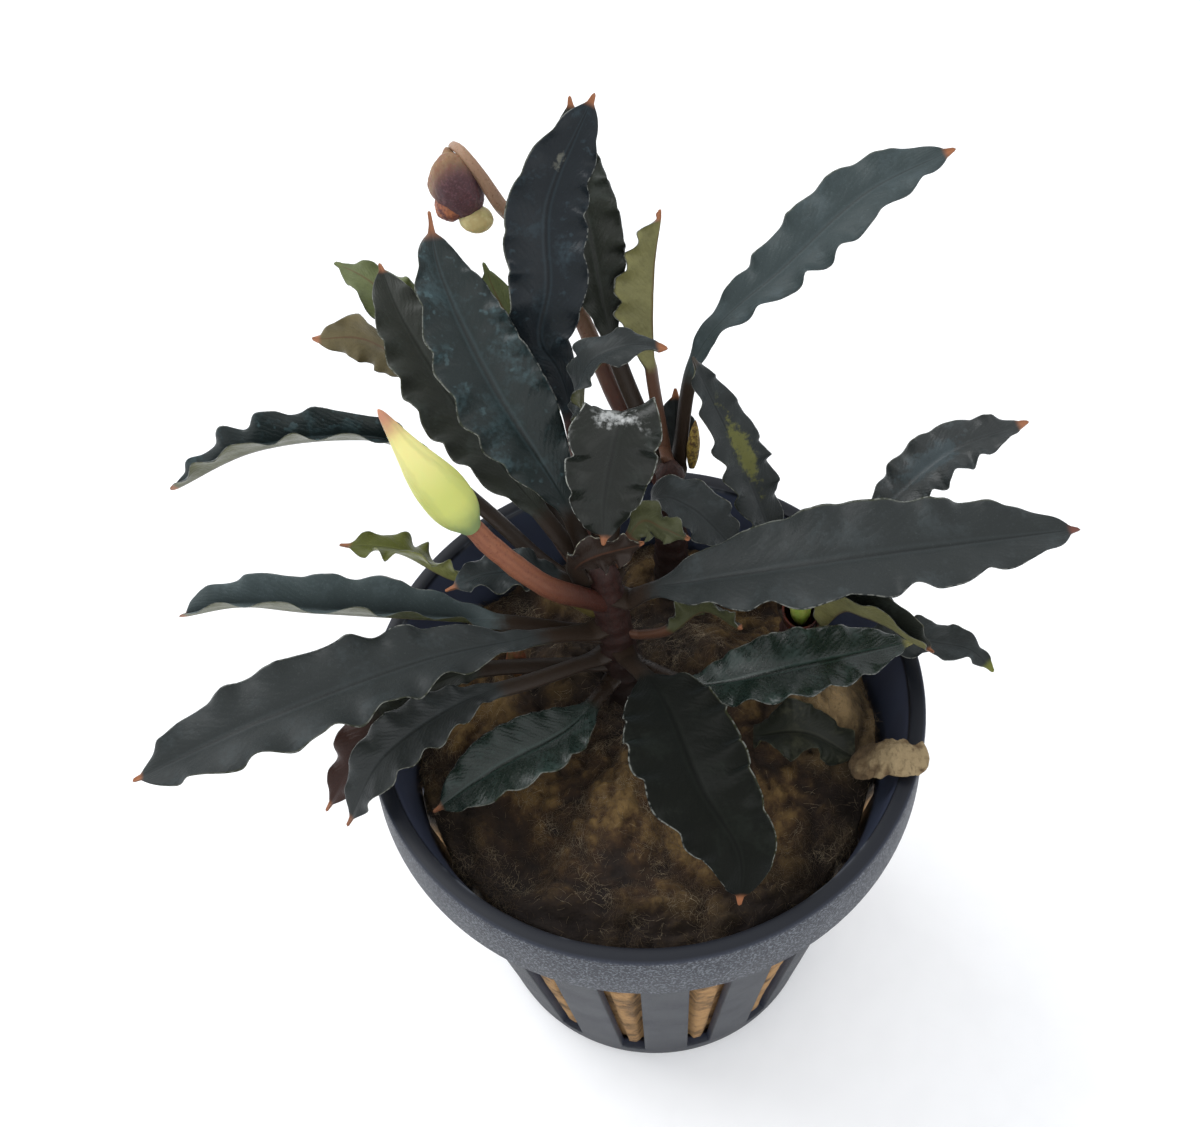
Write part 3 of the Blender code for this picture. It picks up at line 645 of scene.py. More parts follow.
@dataclass(frozen=True)
class LeafFinish:
    """The velvety skin of a leaf, its paler underside, its margin line, its burnt tip and partly painted
    highlight and shade by the midrib.
    """

    hue: LeafHue = LeafHue.DARK
    underside: Colour = (0.085, 0.088, 0.030)
    vein: Colour = (0.100, 0.040, 0.020)
    stalk: Colour = (0.026, 0.016, 0.010)
    tip: Colour = (0.300, 0.120, 0.055)
    margin: Colour = (0.185, 0.190, 0.170)
    gloss: float = 0.42
    shine: float = 0.22
    streaks: float = 0.05
    midrib: float = 0.3
    drops: float = 0.15
    patch_or_glare: PatchOrGlare | None = None
    dead_from: float | None = None
    dead: Colour = (0.035, 0.014, 0.010)

    def build(self, name: str, seed: float) -> bpy.types.Material:
        """Return the leaf's material.

        Args:
            name: The material's name.
            seed: Shifts the patterns, so that no two leaves match.

        Returns:
            The material.
        """
        coat = Coat(name, self.gloss, sheen=0.03, sheen_tint=(0.6, 0.8, 0.9), specular=self.shine)
        along, across, under = coat.mark("along"), coat.mark("across"), coat.mark("under")
        edge = across.size()
        base, patch, share = self.hue.value
        cloud = coat.grain(3.2, 4.0, shift=seed)
        fleck = coat.grain(0.5, 3.0, shift=seed * 2, sharpness=0.6)
        velvet = coat.grain(0.14, 2.0, sharpness=0.7)
        patches = (cloud + fleck * 0.45).rise(0.84 - share * 0.25, 1.10 - share * 0.25)
        patches = patches * (edge.rise(0.1, 0.75) * 0.45 + 0.55)
        top = coat.mix(base, patch, patches)
        streak = ((along * 34.0 - edge * 6.0 + fleck * 1.6 + cloud * 2.2) * math.tau).sin() * 0.5 + 0.5
        lines = streak.rise(0.45, 1.0) * edge.rise(0.05, 0.3) * cloud.rise(0.35, 0.65)
        top = coat.mix(top, patch, lines * self.streaks)
        # Lighter flanks beside the midrib and a dark line along its groove: partly the midrib's own colour,
        # partly painted highlight and painted shade.
        top = coat.mix(top, patch, (edge - 0.075).bell(0.035) * along.rise(0.02, 0.12) * self.midrib)
        top = coat.mix(top, toned(base, 0.45), edge.bell(0.032) * 0.65)
        low = coat.mix(self.underside, toned(self.underside, 0.62),
                       fleck.rise(0.35, 0.85) * 0.5 + cloud.rise(0.42, 0.68) * 0.5)
        low = coat.mix(low, self.vein, edge.bell(0.05) * 0.6)
        drops = coat.grain(0.9, 2.0, shift=seed * 3).rise(0.62, 0.72)
        top = coat.mix(top, toned(patch, 1.6), drops * edge.rise(0.15, 0.5) * self.drops)
        skin = coat.mix(top, low, under)
        skin = coat.mix(skin, toned(base, 2.6), velvet.rise(0.60, 0.78) * 0.5)
        if self.patch_or_glare:
            skin = self.add_patch_or_glare(coat, skin, along, across, fleck + cloud - 0.5)
        if self.dead_from is not None:
            withered = (along + fleck * 0.1).rise(self.dead_from - 0.05, self.dead_from + 0.1)
            skin = coat.mix(skin, self.dead, withered)
        skin = coat.mix(self.stalk, skin, (along + fleck * 0.05).rise(-0.02, 0.06))
        beads = coat.grain(0.45, 2.0, shift=seed + 3).rise(0.40, 0.58)
        skin = coat.mix(skin, self.margin, edge.rise(0.962, 0.988) * beads * along.rise(0.02, 0.1))
        skin = coat.mix(skin, self.tip, coat.mark("claw").rise(0.05, 0.6))
        coat.paint(skin)
        coat.rough(fleck * 0.25 + cloud * 0.15 + (self.gloss - 0.2))
        coat.relief(fleck * 0.45 + velvet * 0.35 + streak * edge.rise(0.0, 0.3) * 0.2, 0.10, 0.5)
        return coat.material

    def add_patch_or_glare(self, coat: Coat, skin: Signal, along: Signal, across: Signal, fleck: Signal) -> Signal:
        """Return the skin with its mottled patch of another colour, which on one leaf is a painted glare.

        Args:
            coat: The material.
            skin: The leaf's colour so far.
            along: The share of the blade.
            across: From -1 at one margin to 1 at the other.
            fleck: A fine noise that breaks up the patch.

        Returns:
            The colour with the patch.
        """
        spot = self.patch_or_glare
        reach = (along - spot.along).bell(spot.length) * (across - spot.across).bell(spot.breadth)
        spread = (reach * 1.1 + (fleck - 0.5) * 1.9).rise(0.40, 1.05)
        return coat.mix(skin, spot.colour, spread * reach.rise(0.0, 0.5) * spot.strength)


@dataclass(frozen=True)
class StalkFinish:
    """The grainy, striped skin of a flower stalk or a stem, darker towards its foot."""

    colour: Colour = (0.245, 0.093, 0.047)
    stripe: Colour = (0.150, 0.047, 0.026)
    foot: Colour = (0.055, 0.019, 0.013)
    dots: Colour = (0.100, 0.025, 0.015)
    gloss: float = 0.45
    relief: float = 0.12

    def build(self, name: str) -> bpy.types.Material:
        """Return the stalk's material.

        Args:
            name: The material's name.

        Returns:
            The material.
        """
        coat = Coat(name, self.gloss, specular=0.3, subsurface=0.08)
        along = coat.mark("along")
        cloud = coat.grain(2.2, 3.0)
        fine = coat.grain(0.25, 3.0, sharpness=0.65)
        lines = (coat.mark("turn") * 60.0 + cloud * 7.0).sin() * 0.5 + 0.5
        skin = coat.mix(self.colour, self.stripe, (lines * 0.25 + cloud * 0.9).rise(0.4, 0.9) * 0.6)
        skin = coat.mix(self.foot, skin, (along + cloud * 0.2).rise(0.25, 0.95))
        skin = coat.mix(skin, self.dots, fine.rise(0.56, 0.72) * 0.65)
        coat.paint(skin)
        coat.rough(fine * 0.25 + (self.gloss - 0.1))
        coat.relief(fine * 0.9 + lines * 0.1, self.relief, 0.6)
        return coat.material


@dataclass(frozen=True)
class SpatheFinish:
    """The closed bud: green at its base, lime, then pale yellow, with a salmon beak."""

    base: Colour = (0.200, 0.270, 0.110)
    lime: Colour = (0.530, 0.560, 0.150)
    pale: Colour = (0.750, 0.700, 0.270)
    beak: Colour = (0.480, 0.230, 0.140)

    def build(self, name: str) -> bpy.types.Material:
        """Return the bud's material.

        Args:
            name: The material's name.

        Returns:
            The material.
        """
        coat = Coat(name, 0.5, specular=0.25, subsurface=0.15)
        along = coat.mark("along")
        mottle = coat.grain(1.1, 4.0)
        skin = coat.mix(self.base, self.lime, (along + mottle * 0.1).rise(0.08, 0.36))
        skin = coat.mix(skin, self.pale, along.rise(0.35, 0.75))
        skin = coat.mix(skin, self.beak, (along + mottle * 0.1).rise(0.82, 1.0))
        vein = (coat.mark("turn") * 26.0 + mottle * 2.0).sin() * 0.5 + 0.5
        skin = coat.mix(skin, toned(self.base, 0.8), vein.rise(0.7, 1.0) * 0.12)
        coat.paint(skin)
        coat.rough(mottle * 0.2 + 0.4)
        coat.relief(mottle * 0.6 + vein * 0.4, 0.08, 0.5)
        return coat.material


@dataclass(frozen=True)
class MottledFinish:
    """A plain two-coloured skin with fine grain, for the small growths and the faded flower."""

    colour: Colour
    second: Colour
    gloss: float = 0.5
    patch: float = 1.0
    grain: float = 0.2
    depth: float = 0.1
    glow: float = 0.1

    def build(self, name: str, mark: str | None = None,
              below: Colour = (0.0, 0.0, 0.0)) -> bpy.types.Material:
        """Return the material.

        Args:
            name: The material's name.
            mark: A number on the points that is low where another colour shows, if any.
            below: That colour.

        Returns:
            The material.
        """
        coat = Coat(name, self.gloss, specular=0.3, subsurface=self.glow)
        cloud = coat.grain(self.patch, 4.0, sharpness=0.6)
        fine = coat.grain(self.grain, 2.0)
        skin = coat.mix(self.colour, self.second, (cloud + fine * 0.3).rise(0.5, 0.8))
        if mark:
            low = coat.mix(below, toned(below, 2.4), fine.rise(0.45, 0.70) * 0.5)
            skin = coat.mix(low, skin, (coat.mark(mark) + cloud * 0.6).rise(0.60, 1.35))
        coat.paint(skin)
        coat.rough(fine * 0.3 + (self.gloss - 0.12))
        coat.relief(cloud * 0.6 + fine * 0.4, self.depth, 0.7)
        return coat.material


@dataclass(frozen=True)
class PlasticFinish:
    """Moulded black plastic: smooth inside, sandy on the skirt, grey and worn below, with painted shade on
    the lip's top and a painted highlight along its inner edge.
    """

    inside: Colour = (0.052, 0.064, 0.104)
    skirt: Colour = (0.028, 0.031, 0.040)
    grit: Colour = (0.155, 0.170, 0.195)
    wall: Colour = (0.036, 0.040, 0.048)
    lip_highlight: Colour = (0.200, 0.220, 0.250)
    lip_painted_shade: float = 0.12
    lip_highlight_width: float = 0.16
    sand_size: float = 0.22
    sand_depth: float = 0.16

    def build(self, name: str, pot: "Pot") -> bpy.types.Material:
        """Return the pot's material.

        Args:
            name: The material's name.
            pot: The pot, whose sizes tell where its bands are.

        Returns:
            The material.
        """
        coat = Coat(name, 0.42, specular=0.3)
        height = coat.axis("Z")
        outside = coat.mark("outside")
        sand = coat.grain(self.sand_size, 2.0, sharpness=0.7)
        smear = coat.grain(5.0, 4.0)
        skirt = coat.mix(self.skirt, self.grit, sand.rise(0.46, 0.66) * 0.9)
        wall = coat.mix(self.wall, self.skirt, smear.rise(0.4, 0.7))
        body = coat.mix(wall, skirt, height.rise(pot.skirt_low - 0.4, pot.skirt_low + 0.2))
        skin = coat.mix(self.inside, body, outside)
        # Painted shade: the top of the lip and the rim just inside it are darkened nearly to black.
        top = height.rise(pot.height - 0.7, pot.height - 0.2)
        skin = coat.mix(skin, toned(self.inside, self.lip_painted_shade), top * (1.0 - outside))
        # Painted highlight: a broken pale line along the lip's inner edge.
        line = (coat.distance() - (pot.lip_radius - pot.lip_width)).bell(self.lip_highlight_width) * top
        skin = coat.mix(skin, self.lip_highlight, line * smear.rise(0.50, 0.62) * 0.5)
        coat.paint(skin)
        coat.rough(outside * 0.15 + smear * 0.15 + 0.35)
        coat.relief(sand * outside, self.sand_depth, 0.8)
        return coat.material


@dataclass(frozen=True)
class WoolFinish:
    """Matted mineral wool: golden, lighter on its raised lumps partly as a painted highlight, with painted
    shade darkening its hollows and the wool round the crown.
    """

    gold: Colour = (0.175, 0.108, 0.040)
    brown: Colour = (0.060, 0.032, 0.016)
    dark: Colour = (0.020, 0.0150, 0.0130)
    tan: Colour = (0.300, 0.205, 0.100)
    side: Colour = (0.380, 0.215, 0.085)
    wet: float = 0.5
    shaded: bool = True
    tan_centre: tuple[float, float] = (17.5, -1.0)
    tan_radii: tuple[float, float] = (7.0711, 4.0)
    crown_shade_centre: tuple[float, float] = (-1.5, 7.0)
    crown_shade_radii: tuple[float, float] = (6.0, 19.0)
    wall_radii: tuple[float, float] = (17.5, 22.5)
    wall_front: tuple[float, float] = (-1.0, -7.0)
    side_blend: float = 5.0

    def build(self, name: str, side_below: float) -> bpy.types.Material:
        """Return the wool's material.

        Args:
            name: The material's name.
            side_below: The height, in millimetres, below which the wool takes its paler side colour.

        Returns:
            The material.
        """
        coat = Coat(name, 0.85, sheen=0.06, sheen_tint=(1.0, 0.85, 0.6), specular=0.2)
        lump = coat.mark("lump")
        cloud = coat.grain(6.5, 3.0)
        stain = coat.grain(2.5, 4.0, shift=4.0)
        mottle = coat.grain(1.1, 5.0, shift=2.0, sharpness=0.7)
        thread = coat.grain(0.35, 4.0, stretch=(1.0, 0.3, 1.0), sharpness=0.7)
        cross = coat.grain(0.35, 4.0, stretch=(0.3, 1.0, 1.0), shift=9.0, sharpness=0.7)
        # Gold shows more on raised lumps: partly the wool's own colour, partly a painted highlight.
        skin = coat.mix(self.brown, self.gold, (cloud * 0.6 + lump * 0.35 + mottle * 0.7).rise(0.72, 1.06))
        if self.shaded:
            skin = self.shade(coat, skin, stain)
        # Painted shade: the wool darkens where its lumps are low, in its hollows, and in cloudy patches.
        raised = lump * 0.7 + stain * 0.6 + mottle * 0.4 + cloud * self.wet
        skin = coat.mix(self.dark, skin, raised.rise(0.62, 1.30))
        side = coat.mix(self.brown, self.side, (stain * 0.7 + mottle * 0.3).rise(0.32, 0.60))
        skin = coat.mix(skin, side, coat.axis("Z").rise(side_below, side_below - self.side_blend))
        skin = coat.mix(skin, self.dark, thread.rise(0.5, 0.72) * 0.5)
        # More gold streaks on raised lumps, partly a painted highlight.
        skin = coat.mix(skin, self.gold, cross.rise(0.56, 0.72) * lump * 0.35)
        coat.paint(skin)
        coat.relief(thread * 0.4 + cross * 0.4 + mottle * 0.2, 0.5, 0.8)
        return coat.material

    def shade(self, coat: Coat, skin: Signal, stain: Signal) -> Signal:
        """Return the skin with its tan wads at the right, painted shade round the crown, and darker by the
        front wall.

        Args:
            coat: The material.
            skin: The wool's colour so far.
            stain: A noise that blurs the bounds.

        Returns:
            The shaded colour.
        """
        wads = coat.distance(*self.tan_centre) ** 2.0 + stain * 12.0
        far, near = self.tan_radii
        skin = coat.mix(skin, self.tan, wads.rise(far * far, near * near))
        # Painted shade: the wool round the crown, under the leaves, is darkened.
        crown = coat.distance(*self.crown_shade_centre) + stain * 6.0
        skin = coat.mix(self.dark, skin, crown.rise(*self.crown_shade_radii) * 0.85 + 0.15)
        wall = (coat.distance() + stain * 5.0).rise(*self.wall_radii)
        front = coat.axis("Y").rise(*self.wall_front)
        return coat.mix(skin, self.dark, wall * front * 0.85)


@dataclass(frozen=True)
class FibreFinish:
    """Single fibres of the wool, glinting a little, their pale colour partly a painted glint."""

    pale: Colour = (0.420, 0.330, 0.210)
    deep: Colour = (0.100, 0.064, 0.032)

    def build(self, name: str) -> bpy.types.Material:
        """Return the fibres' material."""
        coat = Coat(name, 0.35, specular=0.5)
        coat.paint(coat.mix(self.deep, self.pale, coat.grain(2.5, 3.0).rise(0.44, 0.68)))
        return coat.material


@dataclass(frozen=True)
class Lump:
    """A raised place on the wool: its centre, radius and height."""

    x: float
    y: float
    radius: float
    height: float


@dataclass(frozen=True)
class Stem:
    """An upright stem of the rhizome: root end, top end and radii."""

    name: str
    root: Point
    top: Point
    root_radius: float
    top_radius: float

    def axis(self, z: float) -> tuple[Vector, float]:
        """Return the stem's centre and radius at a height."""
        root, top = Vector(self.root), Vector(self.top)
        share = (z - root.z) / (top.z - root.z)
        return root.lerp(top, share), self.root_radius + (self.top_radius - self.root_radius) * share


FRONT = Stem("stem_front", (-1.0, 3.0, 38.0), (-2.8, 8.0, 60.0), 2.1, 1.3)
BACK = Stem("stem_back", (4.0, 15.5, 38.0), (4.2, 18.4, 59.5), 1.9, 1.2)
RIGHT = Stem("stem_right", (14.5, 8.0, 38.0), (15.0, 7.2, 48.5), 1.6, 1.3)


@dataclass
class Pot:
    """The slotted net pot with its skirt."""

    FLOOR_ROWS = 2
    FOOT_ROWS = 3

    height: float = 50.0
    lip_radius: float = 25.0
    lip_width: float = 1.5
    lip_round: float = 0.35
    skirt_height: float = 6.6
    skirt_radius: float = 25.3
    skirt_wall: float = 1.1
    wall: float = 1.0
    body_top_radius: float = 23.2
    base_radius: float = 17.8
    floor: float = 1.2
    slots: int = 16
    slot_start_deg: float = 10.2
    slot_top_width: float = 4.3
    slot_low_width: float = 2.4
    slot_low_z: float = 2.6
    slot_top_z: float = 38.8
    slot_rows: int = 14
    slot_columns: int = 4
    rib_columns: int = 8
    edge_round: float = 0.14
    edge_angle_deg: float = 50.0
    sharp_angle_deg: float = 42.0
    hub_radius: float = 2.0
    floor_round: float = 0.6
    foot_round: float = 0.35
    mouth_depth: float = 3.0
    mouth_step: float = 0.5
    skirt_round: float = 0.15
    skirt_chamfer: float = 0.25
    skirt_draft: float = 0.05
    skirt_hollow: float = 1.4
    bulge_margin: float = 0.35
    bulge_slope: float = 2.5
    finish: PlasticFinish = PlasticFinish()

    @property
    def skirt_low(self) -> float:
        """Return the height of the skirt's lower edge."""
        return self.height - self.skirt_height

    @property
    def sector(self) -> int:
        """Return how many columns there are from one slot to the next."""
        return self.slot_columns + self.rib_columns

    def body_radius(self, z: float) -> float:
        """Return the outer radius of the wall at a height."""
        return self.base_radius + (self.body_top_radius - self.base_radius) * z / self.skirt_low

    def slot_heights(self) -> list[float]:
        """Return the heights of the rows from the foot of the slots to their top."""
        span = self.slot_top_z - self.slot_low_z
        return [self.slot_low_z + span * i / self.slot_rows for i in range(self.slot_rows + 1)]

    def profile(self) -> list[tuple[float, float, float]]:
        """Return radius, height and outside mark of each row, from the inner floor round to the base."""
        inner = [(self.hub_radius, self.floor, 0.0),
                 (self.body_radius(self.floor) - self.wall - self.floor_round, self.floor, 0.0)]
        inner += [(self.body_radius(z) - self.wall, z, 0.0) for z in self.slot_heights()]
        lip = self.lip_radius - self.lip_width
        corner = self.lip_round * 0.3
        skirt_inner = self.skirt_radius - self.skirt_wall
        top = [
            (self.body_radius(self.skirt_low) - self.wall, self.skirt_low, 0.0),
            (lip - self.mouth_step, self.height - self.mouth_depth, 0.0),
            (lip, self.height - self.lip_round, 0.0),
            (lip + corner, self.height - corner, 0.0),
            (lip + self.lip_round, self.height, 0.0),
            (self.lip_radius - self.lip_round, self.height, 0.0),
            (self.lip_radius - corner, self.height - corner, 0.3),
            (self.lip_radius, self.height - self.lip_round, 1.0),
            (self.skirt_radius, self.skirt_low + self.skirt_chamfer, 1.0),
            (self.skirt_radius - self.skirt_round, self.skirt_low, 1.0),
            (skirt_inner, self.skirt_low, 1.0),
            (skirt_inner - self.skirt_draft, self.skirt_low + self.skirt_hollow, 1.0),
            (self.body_top_radius, self.skirt_low + self.skirt_hollow, 1.0),
            (self.body_top_radius, self.skirt_low, 1.0),
        ]
        outer = [(self.body_radius(z), z, 1.0) for z in reversed(self.slot_heights())]
        foot = [(self.body_radius(self.foot_round), self.foot_round, 1.0),
                (self.base_radius - self.foot_round, 0.0, 1.0), (self.hub_radius, 0.0, 1.0)]
        return inner + top + outer + foot

    def within_slots(self, z: float) -> float:
        """Return a height, or that of the slots' nearer end if it is above or below them."""
        return min(max(z, self.slot_low_z), self.slot_top_z)

    def slot_width(self, z: float) -> float:
        """Return the width of the slots at a height, or at their nearer end."""
        share = (self.within_slots(z) - self.slot_low_z) / (self.slot_top_z - self.slot_low_z)
        return self.slot_low_width + (self.slot_top_width - self.slot_low_width) * share

    def angles(self, z: float) -> list[float]:
        """Return the angles of one row's columns, which follow the slots' tapered sides.

        Args:
            z: The row's height.

        Returns:
            The angles, in radians, slot by slot.
        """
        radius = self.body_radius(self.within_slots(z)) - self.wall / 2
        half = math.asin(self.slot_width(z) / 2 / radius)
        pitch = math.tau / self.slots
        angles = []
        for k in range(self.slots):
            middle = math.radians(self.slot_start_deg) + pitch * k
            angles += [middle - half + 2 * half * j / self.slot_columns for j in range(self.slot_columns)]
            rib = pitch - 2 * half
            angles += [middle + half + rib * j / self.rib_columns for j in range(self.rib_columns)]
        return angles

    def in_slot(self, angle: float, z: float) -> float:
        """Return how far inside a slot a place on the wall is, from 0 at its edges to 1.

        Args:
            angle: The place's angle round the pot.
            z: Its height.

        Returns:
            The share.
        """
        pitch = math.tau / self.slots
        turn = (angle - math.radians(self.slot_start_deg) + pitch / 2) % pitch - pitch / 2
        sideways = 1.0 - abs(turn) * self.body_radius(z) / (self.slot_width(z) / 2 - self.bulge_margin)
        upwards = min(z - self.slot_low_z - self.bulge_margin, self.slot_top_z - self.bulge_margin - z)
        return bounded(sideways * self.bulge_slope) ** 0.5 * bounded(upwards) ** 0.5

    def mesh(self) -> bpy.types.Mesh:
        """Return the pot as one closed body with open slots."""
        bm = bmesh.new()
        layer = bm.verts.layers.float.new("outside")
        rows = self.profile()
        grid = []
        for radius, z, outside in rows:
            ring = [bm.verts.new(Vector((radius * math.cos(a), radius * math.sin(a), z)) * MM)
                    for a in self.angles(z)]
            for vert in ring:
                vert[layer] = outside
            grid.append(ring)
        inner_low = self.FLOOR_ROWS
        outer_low = len(rows) - self.FOOT_ROWS - 1
        open_rows = {inner_low + i for i in range(self.slot_rows)}
        open_rows |= {outer_low - 1 - i for i in range(self.slot_rows)}
        count = len(grid[0])
        for k in range(len(grid) - 1):
            for i in range(count):
                if k in open_rows and i % self.sector < self.slot_columns:
                    continue
                j = (i + 1) % count
                bm.faces.new((grid[k][i], grid[k][j], grid[k + 1][j], grid[k + 1][i]))
        self.line_slots(bm, grid, inner_low, outer_low)
        for ring in (grid[0], grid[-1]):
            bm.faces.new(ring)
        bmesh.ops.recalc_face_normals(bm, faces=bm.faces[:])
        return mesh_from(bm, "pot_shell")

    def line_slots(self, bm: bmesh.types.BMesh, grid: list, inner_low: int, outer_low: int) -> None:
        """Join the inner wall to the outer wall round each slot.

        Args:
            bm: The pot's mesh.
            grid: Its points, by row and column.
            inner_low: The inner row at the foot of the slots.
            outer_low: The outer row at the foot of the slots.
        """
        for k in range(self.slots):
            first = k * self.sector
            last = first + self.slot_columns
            for i in range(self.slot_rows):
                for column in (first, last):
                    bm.faces.new((grid[inner_low + i][column], grid[inner_low + i + 1][column],
                                  grid[outer_low - i - 1][column], grid[outer_low - i][column]))
            for row in (0, self.slot_rows):
                for column in range(first, last):
                    bm.faces.new((grid[inner_low + row][column], grid[inner_low + row][column + 1],
                                  grid[outer_low - row][column + 1], grid[outer_low - row][column]))

    def build(self) -> None:
        """Make the pot and dress it."""
        thing = placed("net_pot", self.mesh())
        edges = thing.modifiers.new("edges", "BEVEL")
        edges.width = self.edge_round * MM
        edges.segments = 2
        edges.limit_method = "ANGLE"
        edges.angle_limit = math.radians(self.edge_angle_deg)
        thing = frozen(thing, "net_pot")
        thing.data.shade_smooth()
        thing.data.set_sharp_from_angle(angle=math.radians(self.sharp_angle_deg))
        dress(thing, self.finish.build("pot_plastic", self), "pot_plastic", "pot")


@dataclass
class Wool:
    """The plug of mineral wool in the pot, with its loose fibres."""

    TUFT_SCALE = 170.0
    TUFT_RISE = (0.44, 0.64)
    TUFT_SHARE, LOOSE_SHARE = 2.0, 0.12
    FIBRE_MIDDLE = (0.5, 0.0, 0.22)
    FIBRE_END = (1.0, 0.3, 0.02)
    FIBRE_TURN_LOW = (-0.2, -0.25, 0.0)
    FIBRE_TURN_HIGH = (0.2, 0.15, math.tau)
    FIBRE_SCALES = (0.4, 1.3)

    pot: Pot
    top: float = 43.5
    edge_drop: float = 2.0
    seed: Point = (3.1, 7.7, 1.9)
    lump_pitch: float = 7.0
    lump_height: float = 2.0
    gap: float = 0.3
    lumps: tuple[Lump, ...] = (
        Lump(17.0, -1.0, 6.0, 3.0),
        Lump(6.5, 6.0, 4.0, 3.0),
        Lump(1.0, -8.0, 7.0, 1.5),
        Lump(-8.0, 8.0, 5.0, 1.5),
    )
    wads: tuple[tuple[float, float], ...] = ((7.0, 0.38), (3.2, 0.32), (1.5, 0.20), (0.7, 0.10))
    wad_height: float = 1.35
    side_dip: float = 0.1
    sides: int = 288
    rings: int = 96
    side_rings: int = 44
    shoulder: float = 6.0
    slot_bulge: float = 0.9
    fibres: int = 16000
    fibre_length: float = 0.85
    fibre_radius: float = 0.008
    finish: WoolFinish = WoolFinish()
    fibre_finish: FibreFinish = FibreFinish()

    def coarse(self, x: float, y: float) -> float:
        """Return the lumpy height of the wool's top, as its solid has it.

        Args:
            x: The place to the right of the pot's axis.
            y: The place behind it.

        Returns:
            The height.
        """
        radius = math.hypot(x, y) / self.pot.body_top_radius
        place = Vector((x, y, 0.0)) / self.lump_pitch + Vector(self.seed)
        height = self.top - self.edge_drop * radius ** 4 + self.lump_height * noise.noise(place)
        for lump in self.lumps:
            far = math.hypot(x - lump.x, y - lump.y) / lump.radius
            height += lump.height * math.exp(-far * far)
        return height

    def fine(self, place: Vector) -> float:
        """Return the wads at a place, rounded with sharp creases between them, from about -1 to 1."""
        total = 0.0
        for pitch, share in self.wads:
            total += share * (3.6 * abs(noise.noise(place / pitch)) - 1.0)
        return total

    def surface(self) -> bpy.types.Mesh:
        """Return the wool's surface: its foot, its side and its lumpy top."""
        inset = self.pot.wall + self.gap
        low = self.pot.floor + self.gap
        edge = self.top - self.shoulder
        rings, marks = [], []
        for k in range(self.side_rings + 1):
            z = low + (edge - low) * k / self.side_rings
            rings.append(self.ring(self.pot.body_radius(z) - inset, z, marks))
        outer = self.pot.body_radius(edge) - inset
        for k in range(self.rings):
            share = ((k + 0.2) / self.rings) ** 0.9
            rings.append(self.ring(outer * (1.0 - share), None, marks))
        return ring_mesh("wool_plug", rings, {"lump": marks})

    def ring(self, radius: float, z: float | None, marks: list[float]) -> list[Vector]:
        """Return one ring of the wool, on its side at z or on its top.

        Args:
            radius: The ring's radius.
            z: Its height, or None on the top.
            marks: Gets how raised each point is, from 0 to 1.

        Returns:
            The ring's points.
        """
        points = []
        for i in range(self.sides):
            angle = math.tau * i / self.sides
            spot = Vector((radius * math.cos(angle), radius * math.sin(angle), 0.0))
            if z is None:
                spot.z = self.coarse(spot.x, spot.y)
                bump = self.fine(spot)
                spot.z += self.wad_height * bump
            else:
                spot.z = z
                bump = self.fine(spot)
                push = self.slot_bulge * self.pot.in_slot(angle, z) - self.side_dip * (1.0 - bump)
                spot += Vector((spot.x, spot.y, 0.0)).normalized() * push
            marks.append(bounded(0.55 + 0.7 * bump))
            points.append(spot)
        return points

    def fibre_form(self) -> NodeForm:
        """Return the tree that strews bent fibres over a surface."""
        form = NodeForm("wool_fibres", (
            ("Density", "NodeSocketFloat", 5.0e6),
            ("Length", "NodeSocketFloat", 0.003),
            ("Thickness", "NodeSocketFloat", 0.00003),
            ("Lowest", "NodeSocketFloat", 0.04),
            ("Seed", "NodeSocketInt", 1),
            ("Material", "NodeSocketMaterial", None)))
        place = form.node("ShaderNodeSeparateXYZ")
        form.feed(place, Vector=form.out(form.node("GeometryNodeInputPosition")))
        upper = form.out(place, "Z").above(form.value("Lowest"))
        tufts = form.node("ShaderNodeTexNoise")
        form.feed(tufts, Scale=self.TUFT_SCALE, Detail=2.0)
        tufted = form.out(tufts).rise(*self.TUFT_RISE) * self.TUFT_SHARE + self.LOOSE_SHARE
        density = form.value("Density") * tufted
        strewn = form.node("GeometryNodeDistributePointsOnFaces", distribute_method="RANDOM")
        form.feed(strewn, Mesh=form.value("Geometry"), Selection=upper, Density=density,
                  Seed=form.value("Seed"))
        arc = form.node("GeometryNodeCurveQuadraticBezier")
        length = form.value("Length")
        form.feed(arc, Resolution=4, Start=(0.0, 0.0, 0.0))
        middle = calc_vector(form.tree, "SCALE", self.FIBRE_MIDDLE, length)
        end = calc_vector(form.tree, "SCALE", self.FIBRE_END, length)
        form.feed(arc, Middle=middle, End=end)
        circle = form.feed(form.node("GeometryNodeCurvePrimitiveCircle"), Resolution=3,
                           Radius=form.value("Thickness"))
        thread = form.node("GeometryNodeCurveToMesh")
        form.feed(thread, Curve=form.out(arc), Profile_Curve=form.out(circle))
        yaw = form.node("FunctionNodeRandomValue", data_type="FLOAT_VECTOR")
        form.feed(yaw, Min=self.FIBRE_TURN_LOW, Max=self.FIBRE_TURN_HIGH, Seed=form.value("Seed"))
        turn = form.node("FunctionNodeEulerToRotation")
        form.feed(turn, Euler=form.out(yaw, "Value"))
        both = form.node("FunctionNodeRotateRotation", rotation_space="LOCAL")
        form.feed(both, Rotation=form.out(strewn, "Rotation"), Rotate_By=form.out(turn))
        size = form.node("FunctionNodeRandomValue", data_type="FLOAT")
        inputs = [socket for socket in size.inputs if socket.type == "VALUE"]
        for value, socket in zip(self.FIBRE_SCALES, inputs):
            wire(form.tree, value, socket)
        placed_threads = form.node("GeometryNodeInstanceOnPoints")
